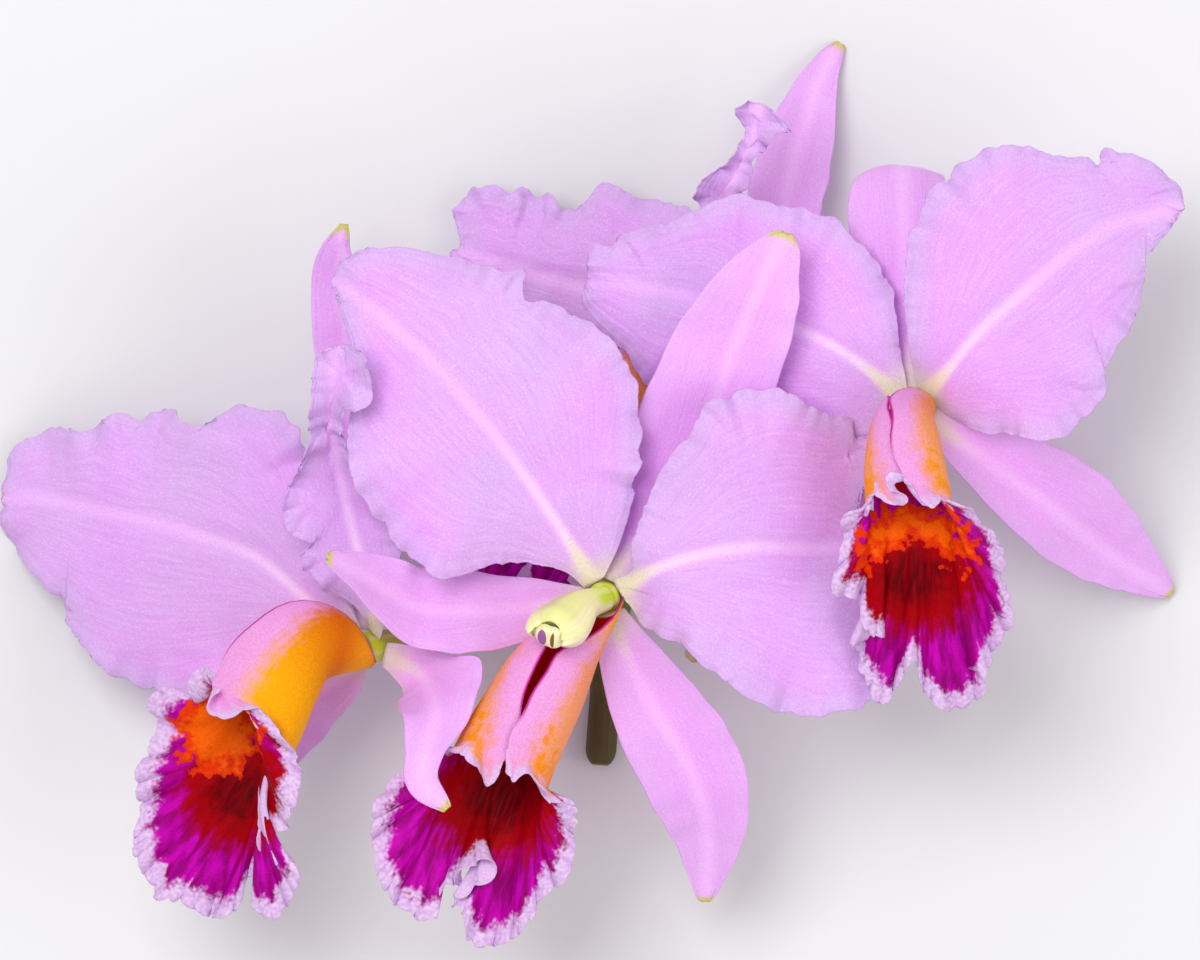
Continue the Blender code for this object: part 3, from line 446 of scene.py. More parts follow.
add_blades(
    "right_bloom",
    left_petal=petal(
        [(49.6, 28.4, 49.5), (34.6, 35.4, 47), (21.6, 39, 45), (8, 41.4, 43), (-1, 43.4, 41)],
        [(55.6, 11.8), (46, 8.4), (34, 10), (22, 15), (10.4, 22.8), (6.8, 27.6), (1.8, 32), (-1.2, 35.6),
         (-2.2, 39.4)],
        [(61, 33.2), (58.8, 42.4), (53.4, 50.4), (46.6, 55.2), (35.6, 57.6), (30, 60.2), (26.4, 59.2),
         (21.4, 57), (16.6, 54.6), (10.4, 52.8), (5.6, 52.2), (3.8, 49.2), (1, 49.8), (-0.6, 47.8)],
        blunt=16,
    ),
    right_petal=petal(
        [(70.8, 23.8, 52), (78, 32.6, 55), (86.8, 40.4, 55), (96.4, 48.4, 53), (105.2, 53.6, 50),
         (118.2, 56.8, 46)],
        [(63, 30.4), (62.2, 38.4), (63, 46.6), (63.8, 52.8), (67.4, 59.8), (73.6, 65.2), (79.6, 68.2),
         (86.2, 69.8), (92, 68.2), (96.4, 67.4), (100, 66.8), (102.2, 65.4), (103.4, 68.2), (108.8, 67.4),
         (114, 65.2), (117.6, 61.6)],
        [(75.6, 12.4), (83.2, 11), (88.4, 10.4), (93.8, 11.4), (99, 15), (103.4, 20.2), (102.6, 24.6),
         (106, 30), (109.6, 36), (111.2, 41.8), (109.6, 45.8), (113.2, 49.2), (116.2, 53.6)],
        blunt=20,
    ),
    dorsal_sepal=sepal(
        [(62.6, 38.4, 44), (62.4, 52.4, 42), (62.2, 62.2, 37), (62, 65.2, 30), (61.8, 61.4, 22),
         (61.4, 53, 16)],
        11.5, 10.5,
        cup=-0.2,
        face=[UP, UP, (0, 0.35, 1), (0, 1, 0.35), (0, 0.8, -1)],
    ),
    left_lateral_sepal=sepal(
        [(56, 8, 43), (46, -3, 36), (34, -17, 30), (19.6, -33.6, 20)],
        10, 10,
    ),
    right_lateral_sepal=sepal(
        [(76, 8.4, 44), (90, -1.6, 34), (103, -11.6, 18), (116.6, -20.6, 1)],
        12, 9,
    ),
)

# %% [markdown]
# The fourth bloom hides behind the others: only the edges of its petals, one tall sepal and a
# glimpse of its lip show. It is the left bloom's sister, so its lip is the same one, turned and
# made a little smaller.

# %% The back bloom


def turned(points, centre, new_centre, angle, scale):
    """Points moved from one centre to another, turned about +Z and scaled."""
    sine, cosine = math.sin(angle), math.cos(angle)
    turn = np.array(((cosine, -sine, 0), (sine, cosine, 0), (0, 0, 1)))
    return (np.asarray(points, float) - centre) * scale @ turn.T + new_centre


BACK_MOUTH = np.array((1.2, 10.4, 31))
BACK_TURN = math.radians(-25)
BACK_SCALE = 0.92
BACK_DORSAL = turned(LEFT_DORSAL, (0, 0, 0), (0, 0, 0), BACK_TURN, 1)
add_bloom(
    "back_bloom",
    centre=(30, 29.4, 22),
    facing=(-0.6, 0.1, 0.75),
    lip=rolled_lip(
        heart=((-2, -3.5), (9.5, 9.5)),
        blaze=((-3, 4.5), (6, 7)),
        warm=(1.3, 0.95, 0.9),
        gold=0.4,
        frill=0.25,
        axis=[(21.6, 28.4, 27.5), (13.6, 24.4, 29), (6.6, 18.4, 30), BACK_MOUTH],
        dorsal=BACK_DORSAL,
        radii=[4.2, 6.2, 8, 8.8, 9],
        opening=[60, 138, 174, 178, 179, 179, 178],
        swing=2,
        rim=turned(LEFT_RIM, LEFT_MOUTH, BACK_MOUTH, BACK_TURN, BACK_SCALE),
    ),
    column=[(21.6, 28.8, 26.8), (16.8, 26.4, 28.6), (12.8, 24, 29.8)],
    pedicel=[(32.6, 26, 14), (27, 19, 11.5)],
    joins_stem=(0.88, (0.1, 0, 1)),
)
add_blades(
    "back_bloom",
    left_petal=petal(
        [(16, 35.4, 15.5), (2, 40.4, 12.5), (-12, 44, 10), (-28.4, 48.4, 7)],
        [2.2, 10, 15, 15, 12, 8, 4],
        [(24, 45), (21.2, 55), (9.6, 59.2), (5.4, 61.4), (2.8, 62.4), (0.6, 61.6), (-2, 58), (-4.2, 56.8),
         (-6.6, 57.4), (-9.4, 59.6), (-11.4, 58.8), (-13.2, 61.4), (-15.2, 61.6), (-16.4, 60),
         (-18.6, 61.4), (-22.6, 61.6), (-26.6, 58.6), (-28.4, 56.2), (-26, 52.4), (-26, 49.6)],
        blunt=16,
        face=[(-0.3, 0, 1), (-0.3, 0, 1)],
    ),
    right_petal=petal(
        [(29.4, 40.4, 24), (28.2, 50.4, 26), (27.6, 59.4, 28), (31.2, 68.4, 31), (33.8, 77.8, 34)],
        [(22.6, 42), (21, 50), (21.4, 57.8), (21.2, 60.2), (22.6, 63.8), (26.4, 65.6), (30, 70.6),
         (30.4, 74.2), (28.8, 78.2)],
        [(33, 42), (32.6, 50), (31.2, 58.8), (31.8, 63.8), (32.6, 67.4), (35.6, 69.2), (36.8, 72.4),
         (40.2, 73), (36.8, 76.6)],
        cup=0.35,
        blunt=12,
        ruffles=[(1.2, 10, 0), (0.7, 6, 1.3)],
    ),
    dorsal_sepal=sepal(
        [(36, 46, 15), (39.6, 62, 11), (42.8, 74, 7), (46.2, 84, 3), (50.2, 90.6, 1)],
        8, 8,
    ),
    left_lateral_sepal=sepal(
        [(23.5, 26.4, 14.5), (15, 22.5, 9.5), (6, 18.5, 7), (-4, 14, 7)],
        8, 8,
    ),
    right_lateral_sepal=sepal(
        [(31, 20, 21.5), (32.5, 9, 20), (34.5, -2, 16), (36, -13, 11)],
        8, 8,
    ),
)

# %% [markdown]
# Each blade leaves the green receptacle just outside its rim. From there rows of points run from
# the midrib out to both margins, spread like the veins of a real petal. Rows square to the midrib
# would be simpler, but they cannot follow a margin that doubles back. The helper below turns a
# traced margin, or plain half widths, into how far each row has to reach.

# %% How far a blade reaches from its midrib
RECEPTACLE_RADIUS = 3.2
SEAT_GAP = 0.3
FOOT_HALF = 2.2
TIP_HALF = 0.6
LEAST_HALF = 0.7


def foot_of(bloom, blade):
    """Where a blade starts: just outside the receptacle, on the side that its midrib leaves by."""
    centre = np.asarray(bloom["centre"], float)
    facing = unit(bloom["facing"])
    outward = np.asarray(blade["midrib"][0], float) - centre
    outward = unit(outward - (outward @ facing) * facing)
    return centre + blade["level"] * facing + (RECEPTACLE_RADIUS + SEAT_GAP) * outward


def reach_of(measures, side, midrib, faces, along, blunt):
    """The vectors from the midrib to one margin: side is -1 for the left one and 1 for the right."""
    rightward = np.cross(unit(np.gradient(midrib, axis=0)), faces)
    if np.ndim(measures) == 1:
        tip = np.sqrt(np.maximum(1 - along**blunt, 0))
        width = LEAST_HALF + tip * np.maximum(smooth(measures, along) - LEAST_HALF, 0)
        return side * width[:, None] * rightward
    ends = midrib[[0, -1]] + side * rightward[[0, -1]] * ((FOOT_HALF,), (TIP_HALF,))
    line = even([ends[0, :2], *measures, ends[1, :2]], np.linspace(0, 1, len(midrib)))
    reach = np.zeros(midrib.shape)
    reach[:, :2] = line - midrib[:, :2]
    reach[:, 2] = -(reach * faces).sum(axis=1) / faces[:, 2]
    return reach


print("a blade's foot is", 2 * FOOT_HALF, "mm wide")

# %% [markdown]
# A petal's margin is ruffled: long soft waves, and on them short crimps that die out within a few
# millimetres. A Displace modifier could add waves, but these have to run along the margin, even
# round the tip. So each point looks up its nearest point on the margin. The way to it says how
# strongly the point waves, and how far along the margin it lies gives the place in the wave.

# %% Ruffled margins
from mathutils.kdtree import KDTree


def nearest_margin(flat):
    """For each point of an unwaved blade: its distance to the margin, and how far along that lies."""
    margin = np.concatenate([flat[:, 0], flat[::-1, -1]])
    run = lengths_along(margin)
    fine = np.linspace(0, run[-1], 4 * len(run))
    tree = KDTree(len(fine))
    for number, point in enumerate(zip(*(np.interp(fine, run, axis) for axis in margin.T))):
        tree.insert(point, number)
    tree.balance()
    found = [tree.find(point)[1:] for point in flat.reshape(-1, 3).tolist()]
    edge = np.array([distance for _, distance in found]).reshape(flat.shape[:2])
    return edge, fine[[number for number, _ in found]].reshape(flat.shape[:2])


def waves(edge, run, half, blade):
    """Height and outward pull of the long ruffles and the short crimps."""
    height = np.zeros(edge.shape)
    pull = np.zeros(edge.shape)
    for size, length, phase in blade["ruffles"]:
        turn = 2 * math.pi * run / length + phase + 0.8 * np.sin(run / length * 1.9 + phase)
        strength = size * np.clip(1 - edge / half, 0, 1) ** 2.2
        height += strength * np.sin(turn)
        pull += 0.3 * strength * np.cos(turn)
    for size, length, reach, phase in blade["crimps"]:
        turn = 2 * math.pi * run / length + phase + 1.3 * np.sin(run / length * 1.9 + 2.3 * phase)
        uneven = 0.6 + 0.4 * np.sin(run / length * 1.07 + 5 * phase)
        strength = size * uneven * np.exp(-edge / reach)
        height += strength * np.sin(turn)
        pull += 0.6 * strength * np.cos(turn)
    return height, pull


print("a petal's margin carries", len(petal([], [], [])["crimps"]), "sizes of crimps")

# %% [markdown]
# Now the blade itself. It is cupped, grooved along the midrib, swollen and sunk a little like any
# fresh petal, and waved towards the margin. Its foot stays calm, because it sits tightly on the
# receptacle, and no point may sink through the surface that the spray lies on.

# %% Surfaces of petals and sepals
SOFTNESS = 0.5
GROOVE_WIDTH = 2.5
CROWDING = 1.3


def above_surface(points, lowest):
    """The points with those that would sink below the lowest height pressed flat, softly."""
    over = points[..., 2] - lowest
    points[..., 2] = lowest + 0.5 * (over + np.sqrt(over**2 + SOFTNESS**2))
    return points


def swelling(flat, across):
    """Broad low swells over a blade, and fine pleats that fan out with the veins."""
    x, y = flat[..., 0], flat[..., 1]
    swells = np.sin(0.31 * x + 0.13 * y) + np.sin(0.11 * x - 0.37 * y + 1) + np.sin(0.23 * (x + y) + 4)
    pleats = np.sin(37 * across + 0.1 * (x - y)) + 0.6 * np.sin(61 * across - 0.17 * (x + y))
    crumple = np.sin(0.83 * x + 0.41 * y) * np.sin(0.37 * x - 0.94 * y + 2)
    return 0.16 * swells + 0.06 * pleats * np.abs(across) + 0.05 * crumple


def blade_surface(bloom, blade):
    """The blade's middle surface, foot to tip and left to right, and what its points store.

    Rows crowd towards the tip and columns towards the margins, where the crimps are finest.
    """
    rows, columns = blade["grid"]
    along = 1 - (1 - np.linspace(0, 1, rows + 1)) ** CROWDING
    across = np.sin(CROWDING * np.linspace(-1, 1, columns + 1)) / math.sin(CROWDING)
    midrib = even([foot_of(bloom, blade), *blade["midrib"]], along)
    free = np.minimum(along * 4, 1)[:, None]
    faces = free * unit(smooth(blade["face"], along)) + (1 - free) * unit(bloom["facing"])
    faces = square_to(faces, unit(np.gradient(midrib, axis=0)))
    left = reach_of(blade["left"], -1, midrib, faces, along, blade["blunt"])[:, None]
    right = reach_of(blade["right"], 1, midrib, faces, along, blade["blunt"])[:, None]
    reach = np.where(across[:, None] < 0, left, right)
    flat = midrib[:, None] + np.abs(across)[:, None] * reach
    width = np.linalg.norm(reach, axis=2)
    foot = lengths_along(midrib)[:, None] + 0 * width
    edge, run = nearest_margin(flat)
    height, pull = waves(edge, run, 0.5 * width.max(), blade)
    rise = blade["cup"] * width * across**2 * np.minimum(along * 3, 1)[:, None]
    depth = blade["groove"] * np.minimum(along * 6, 1) * (1 - 0.8 * along**3)
    rise -= depth[:, None] * bump(across * width, 0, GROOVE_WIDTH)
    rise += free * (height + swelling(flat, across))
    outward = reach / np.maximum(width, 0.1)[..., None]
    grid = flat + outward * (free * pull * np.abs(across))[..., None] + faces[:, None] * rise[..., None]
    values = {
        "edge": edge,
        "rib": np.abs(across * width),
        "foot": foot,
        "tip": foot[-1] - foot,
        "fan": across / (0.3 + 0.7 * along[:, None]),
    }
    return above_surface(grid, blade["thickness"] / 2), values


sample = blade_surface(BLOOMS["middle_bloom"], BLOOMS["middle_bloom"]["blades"]["left_petal"])[0]
print("the middle bloom's left petal is", round(lengths_along(sample[:, 40])[-1]), "mm long")

# %% [markdown]
# A finish is a small network of nodes. Building one node at a time takes many lines, so a recipe
# wraps a material and offers the few steps that flowers need: read a stored number, soften it into
# a step, add grain, and lay coats of colour over one another. Colours are written as they look on a
# screen, from 0 to 255, and turned into the linear numbers that Blender's shader works with.

# %% A recipe for finishes


def shade(red, green, blue):
    """A screen colour, 0 to 255, as the linear colour that a shader takes."""
    parts = np.array((red, green, blue)) / 255
    linear = np.where(parts > 0.04045, ((parts + 0.055) / 1.055) ** 2.4, parts / 12.92)
    return (*linear.tolist(), 1.0)


def deeper(colour):
    """The same hue as a linear colour, one step darker and more saturated."""
    return (0.82 * colour[0], 0.68 * colour[1], 0.86 * colour[2], 1.0)


class Recipe:
    """A material in the making: each step adds a node and hands back the socket that it feeds."""

    def __init__(self, name, roughness, **settings):
        self.look = bpy.data.materials.new(name)
        self.look.use_nodes = True
        self.nodes = self.look.node_tree.nodes
        self.shader = self.nodes["Principled BSDF"]
        self.shader.inputs["Roughness"].default_value = roughness
        for socket, value in settings.items():
            self.shader.inputs[socket.replace("_", " ")].default_value = value

    def feed(self, socket, value):
        if isinstance(value, bpy.types.NodeSocket):
            self.look.node_tree.links.new(value, socket)
        else:
            socket.default_value = value

    def stored(self, label):
        """A number stored on the points of the mesh."""
        node = self.nodes.new("ShaderNodeAttribute")
        node.attribute_name = label
        return node.outputs["Fac"]

    def calculate(self, operation, *values):
        node = self.nodes.new("ShaderNodeMath")
        node.operation = operation
        for socket, value in zip(node.inputs, values):
            self.feed(socket, value)
        return node.outputs[0]

    def times(self, *values):
        return self.calculate("MULTIPLY", *values)

    def plus(self, *values):
        return self.calculate("ADD", *values)

    def less(self, *values):
        return self.calculate("SUBTRACT", *values)

    def step(self, value, start, end):
        """0 before start and 1 after end, softly."""
        node = self.nodes.new("ShaderNodeMapRange")
        node.interpolation_type = "SMOOTHSTEP"
        back = start > end
        self.feed(node.inputs["Value"], value)
        node.inputs["From Min"].default_value = min(start, end)
        node.inputs["From Max"].default_value = max(start, end)
        node.inputs["To Min"].default_value = 1.0 if back else 0.0
        node.inputs["To Max"].default_value = 0.0 if back else 1.0
        return node.outputs["Result"]

    def grain(self, per_metre, detail=2.0, stretch=None):
        """Soft noise from 0 to 1, in the space of the spray, or along stretched stored numbers."""
        node = self.nodes.new("ShaderNodeTexNoise")
        node.inputs["Scale"].default_value = per_metre
        node.inputs["Detail"].default_value = detail
        if stretch is None:
            place = self.nodes.new("ShaderNodeTexCoord").outputs["Object"]
        else:
            joined = self.nodes.new("ShaderNodeCombineXYZ")
            for socket, value in zip(joined.inputs, stretch):
                self.feed(socket, value)
            place = joined.outputs[0]
        self.feed(node.inputs["Vector"], place)
        return node.outputs[0]

    def blend(self, share, first, second, strength=None):
        """The first colour at share 0 and the second at share 1, or weaker where a strength is given."""
        node = self.nodes.new("ShaderNodeMix")
        node.data_type = "RGBA"
        self.feed(node.inputs[0], share if strength is None else self.times(share, strength))
        self.feed(node.inputs[6], first)
        self.feed(node.inputs[7], second)
        return node.outputs[2]

    def coats(self, ground, *coats):
        """Coats over a ground colour, each with its share, its colour and, if weak, its strength."""
        for share, colour, *strength in coats:
            ground = self.blend(share, ground, colour, *strength)
        return ground

    def finish(self, colour, height=None, depth=0.0):
        """Connects the colour, and a relief whose full depth is in millimetres."""
        self.feed(self.shader.inputs["Base Color"], colour)
        if height is not None:
            bump = self.nodes.new("ShaderNodeBump")
            bump.inputs["Distance"].default_value = depth * MM
            self.feed(bump.inputs["Height"], height)
            self.feed(self.shader.inputs["Normal"], bump.outputs[0])
        return self.look


print("screen white becomes", shade(255, 255, 255)[0], "and mid grey", round(shade(128, 128, 128)[0], 2))

# %% [markdown]
# A cattleya's petal is not one lilac. It is creamy where it leaves the green centre, pinker along
# the midrib, cooler and paler at the crisped margin, and fine veins fan out over it. Its skin of
# tiny round cells catches light like fine sugar, and that sparkle is painted into the colour as pale
# specks, a painted glint. An image could hold all that, but stored distances and a little noise do
# it at any size, and give every petal its own pattern.

# %% Finish of the petals and sepals


def blade_look(name, body, rib, margin, claw, cream, rib_reach, green_tip):
    """Cream at the foot, a soft rib line, a cooler margin, fanning veins, a cell grain and painted glints.
    """
    recipe = Recipe(name, 0.5, Specular_IOR_Level=0.3, Sheen_Weight=0.1, Sheen_Roughness=0.4)
    cloud, cell_grain_and_glints = recipe.grain(34, 4.0), recipe.grain(2600, 1.0)
    fan, foot, off_rib = recipe.stored("fan"), recipe.stored("foot"), recipe.stored("rib")
    vein = recipe.grain(1.0, 4.0, (recipe.times(fan, 30.0), recipe.times(foot, 0.09), 0.0))
    edge = recipe.plus(recipe.stored("edge"), recipe.times(cloud, 5.0))
    near_rib = recipe.step(off_rib, 2.8, 0.0)
    pale_rib = recipe.times(recipe.step(off_rib, 1.9, 0.1), recipe.step(foot, rib_reach, 0.0))
    frayed = recipe.plus(recipe.times(recipe.less(vein, 0.5), 8.0), foot)
    creamy = recipe.step(recipe.less(frayed, recipe.times(near_rib, cream[1])), cream[0], -1.0)
    colour = recipe.coats(
        body,
        (recipe.step(cloud, 0.35, 0.7), margin),
        (recipe.step(vein, 0.55, 0.3), deeper(body), 0.26),
        (recipe.step(vein, 0.5, 0.8), rib, 0.4),
        (recipe.step(edge, 8.5, 3.0), margin),
        (near_rib, rib, 0.7),
        (pale_rib, shade(246, 222, 244), 0.7),
        (creamy, claw, 0.75),
        (recipe.step(recipe.stored("tip"), 2.2, 0.3), shade(210, 200, 104), green_tip),
        # painted glint: pale specks on the cell grain stand in for the sparkle of the petal's skin
        (recipe.step(cell_grain_and_glints, 0.55, 0.75), shade(250, 214, 255), 0.35),
        (recipe.step(cell_grain_and_glints, 0.45, 0.25), deeper(body), 0.35),
    )
    return recipe.finish(colour, recipe.times(recipe.plus(vein, cell_grain_and_glints), 0.5), 0.12)


petal_look = blade_look(
    "petal",
    body=shade(226, 160, 240),
    rib=shade(240, 184, 250),
    margin=shade(214, 172, 232),
    claw=shade(232, 226, 176),
    cream=(8.0, 6.0),
    rib_reach=52.0,
    green_tip=0.0,
)
sepal_look = blade_look(
    "sepal",
    body=shade(238, 164, 246),
    rib=shade(248, 190, 253),
    margin=shade(232, 172, 242),
    claw=shade(226, 212, 190),
    cream=(8.0, 4.0),
    rib_reach=16.0,
    green_tip=1.0,
)
print("blade finishes:", petal_look.name, "and", sepal_look.name)

# %% [markdown]
# Every petal and sepal is now made from its measures, each in the place of the solid blade of the
# same name. Petals share one finish and sepals the other.

# %% Petals and sepals in place
for name, bloom in BLOOMS.items():
    for blade_name, blade in bloom["blades"].items():
        kind = "petal" if "petal" in blade_name else "sepal"
        look = petal_look if kind == "petal" else sepal_look
        middle, values = blade_surface(bloom, blade)
        thin_blade(f"{name}_{blade_name}", middle, blade["thickness"], values, look)
print("blades made:", len(made))

# %% [markdown]
# The lip is the bloom's showpiece. It is one petal rolled round the column into a tube, open along
# a slit on top, that flares at the mouth into a frilled lobe. The tube is built as rings round a
# bent axis, each left open at the slit. From the mouth every column of points bends outwards to the
# rim, which is drawn as its own curve in space, and then the rim is crimped.

# %% Surfaces of the lips
LIP_THICKNESS = 0.5
LIP_SEAT = RECEPTACLE_RADIUS + SEAT_GAP + 0.4
LIP_LEVEL = 0.3
FRILL_HEIGHT = 1.5
FRILL_LENGTH = 15.0
LIP_CRIMPS = [(1.6, 6.0, 3.2, 0.4), (0.65, 2.7, 1.8, 1.7)]
LIP_TEETH = [(1.0, 4.4, 0.9), (0.45, 2.3, 2.1)]
TOOTH_DEPTH = 1.3
CALM_FROM, CALM_TO = 0.66, 0.86
SEAM_LENGTH = 11.0
SEAM_LIFT = 1.1
SEAM_OVERLAP = 4.0
TUBE_ROWS, BELL_ROWS, LIP_COLUMNS = 18, 32, 520
RIM_CROWDING = 1.4
FLARE_SHARE, FLARE_LIMIT = 0.45, 9.0


def lip_seat(bloom):
    """Where the foot of the lip's keel meets the receptacle, on the side away from the slit."""
    facing = unit(bloom["facing"])
    dorsal = unit(bloom["lip"]["dorsal"][0])
    outward = unit((dorsal @ facing) * facing - dorsal)
    return np.asarray(bloom["centre"]) + LIP_SEAT * outward + LIP_LEVEL * facing


def tube_rings(bloom, along, round_):
    """Rings of the tube from the seat to the mouth, and the direction of the mouth."""
    lip = bloom["lip"]
    seat = lip_seat(bloom)
    axis = even([seat + lip["radii"][0] * unit(lip["dorsal"][0]), *lip["axis"]], along)
    free = np.minimum(along * 4, 1)[:, None]
    tangents = unit(free * unit(np.gradient(axis, along, axis=0)) + (1 - free) * unit(bloom["facing"]))
    dorsal = square_to(smooth(lip["dorsal"], along), tangents)
    leftward = np.cross(tangents, dorsal)
    length = lengths_along(axis)[:, None]
    swing = lip["swing"] * np.sin(2 * math.pi * length / SEAM_LENGTH) * eased(along, 0.2, 0.5)[:, None]
    closed = eased(along, lip["closed_from"], lip["closed_from"] + 0.2)
    opening = smooth(lip["opening"], along) + SEAM_OVERLAP * closed
    angles = np.radians(opening[:, None] * round_ + swing * np.abs(round_) ** 6)
    outward = -np.cos(angles)[..., None] * dorsal[:, None]
    outward -= np.sin(angles)[..., None] * leftward[:, None]
    lift = SEAM_LIFT * eased(along, 0.2, 0.6)[:, None] * np.maximum(round_, 0) ** 12
    radii = (smooth(lip["radii"], along)[:, None] + lift)[..., None]
    slant = lip["slant"] * (along**2)[:, None, None] * np.cos(angles)[..., None] * tangents[:, None]
    tube = axis[:, None] + radii * outward + slant
    tube += (1 - along[:, None, None]) ** 3 * (seat - tube[0, len(round_) // 2])
    return tube, tangents[-1]


def lip_surface(bloom):
    """The lip's middle surface: rows from foot to rim, columns round from slit edge to slit edge."""
    round_ = np.linspace(-1, 1, LIP_COLUMNS + 1)
    tube, forward = tube_rings(bloom, np.linspace(0, 1, TUBE_ROWS + 1), round_)
    mouth = tube[-1]
    rim = smooth(bloom["lip"]["rim"], (round_ + 1) / 2)
    reach = np.linalg.norm(rim - mouth, axis=1, keepdims=True)
    bend = mouth + forward * np.minimum(FLARE_SHARE * reach, FLARE_LIMIT)
    for place, spread, shift in bloom["lip"]["steer"]:
        bend += bump(round_, place, spread)[:, None] * shift
    part = 1 - (1 - np.linspace(0, 1, BELL_ROWS + 1)[1:, None, None]) ** RIM_CROWDING
    bell = (1 - part) ** 2 * mouth + 2 * part * (1 - part) * bend + part**2 * rim
    grid = np.concatenate([tube, bell])
    outward = across_grid(grid)[-BELL_ROWS:]
    sideways = unit(np.gradient(rim, axis=0))
    run = lengths_along(rim)[:, None]
    left_over = (1 - part) * reach
    lively = 1 - 0.75 * eased(np.abs(round_), CALM_FROM, CALM_TO)[:, None]
    grid[-BELL_ROWS:] += part**2 * FRILL_HEIGHT * np.sin(2 * math.pi * run / FRILL_LENGTH) * outward
    for size, length, depth, phase in LIP_CRIMPS:
        turn = 2 * math.pi * run / length + phase + 1.4 * np.sin(run / length * 1.7 + phase)
        grow = size * lively * np.exp(-left_over / depth)
        grow *= 0.65 + 0.35 * np.sin(run / length * 0.9 + 4 * phase)
        grid[-BELL_ROWS:] += grow * part * (np.sin(turn) * outward + 0.8 * np.cos(turn) * sideways)
    beyond = unit(grid[-1] - grid[-4])
    for size, length, phase in LIP_TEETH:
        turn = math.pi * run / length + phase + 0.8 * np.sin(run / length * 2.3 + phase)
        grow = size * lively * np.exp(-left_over / TOOTH_DEPTH) * part
        grid[-BELL_ROWS:] += grow * (np.abs(np.sin(turn)) - 0.6) * beyond
    return grid


grids = {name: lip_surface(bloom) for name, bloom in BLOOMS.items()}
print("round the middle bloom's rim:", round(lengths_along(grids["middle_bloom"][-1])[-1]), "mm")

# %% [markdown]
# The lip's colours follow its form. Inside, a dark red heart fills the throat, with an orange blaze
# above it in most of the blooms, magenta round it, and a pale lilac frill along the rim. Outside,
# the tube is pink along the slit and orange along the keel. Each zone is a simple shape, an ellipse
# or a wedge, and how far a point lies inside it is stored, so that noise can fray the border.

# %% Colour zones of the lips


def inside_ellipse(points, centre, radii):
    """1 at the middle of an upright ellipse, 0 on its border, and less than 0 outside."""
    return 1 - np.hypot((points[..., 0] - centre[0]) / radii[0], (points[..., 1] - centre[1]) / radii[1])


def lip_values(bloom, grid):
    """What each point of the lip stores: distances to its borders, and how deep in each zone it is."""
    lip = bloom["lip"]
    rows, columns = grid.shape[:2]
    steps = np.linalg.norm(np.diff(grid, axis=0), axis=2)
    travelled = np.concatenate([np.zeros((1, columns)), np.cumsum(steps, axis=0)])
    rim = travelled[-1] - travelled
    spans = np.linalg.norm(np.diff(grid, axis=1), axis=2)
    crossed = np.concatenate([np.zeros((rows, 1)), np.cumsum(spans, axis=1)], axis=1)
    slit = np.minimum(crossed, crossed[:, -1:] - crossed)
    round_ = np.linspace(-1, 1, columns) + np.zeros((rows, 1))
    stage = np.arange(rows)[:, None] / TUBE_ROWS + np.zeros(columns)
    heart = inside_ellipse(grid, *lip["heart"])
    blaze = np.full(heart.shape, -1.0) if lip["blaze"] is None else inside_ellipse(grid, *lip["blaze"])
    if lip["wedge"] is not None:
        (x, y), slope = lip["wedge"]
        blaze = np.minimum(blaze, (np.abs(grid[..., 0] - x) * slope - (y - grid[..., 1])) / 8)
    limit = smooth(lip["warm"], np.clip(stage[:, 0], 0, 1))[:, None]
    return {
        "edge": np.minimum(rim, slit),
        "rim": rim / lip["frill"],
        "slit": slit,
        "round": round_,
        "stage": stage,
        "heart": heart,
        "blaze": blaze,
        "warm": limit - np.abs(round_),
        "gold": np.full(heart.shape, lip["gold"]),
    }


zones = {name: lip_values(bloom, grids[name]) for name, bloom in BLOOMS.items()}
heart_share = (zones["right_bloom"]["heart"] > 0).mean()
print("the right bloom's heart covers", round(heart_share * 100), "% of its lip")

# %% [markdown]
# The finish reads those zones and paints both skins at once, and the stored side of the sheet picks
# one. Streaks run from the throat to the rim, blotches fray the zones, and the frill breaks up into
# crumbs where the magenta runs out. The lip is matt, since a shine would wash out its deep reds.

# %% Finish of the lips


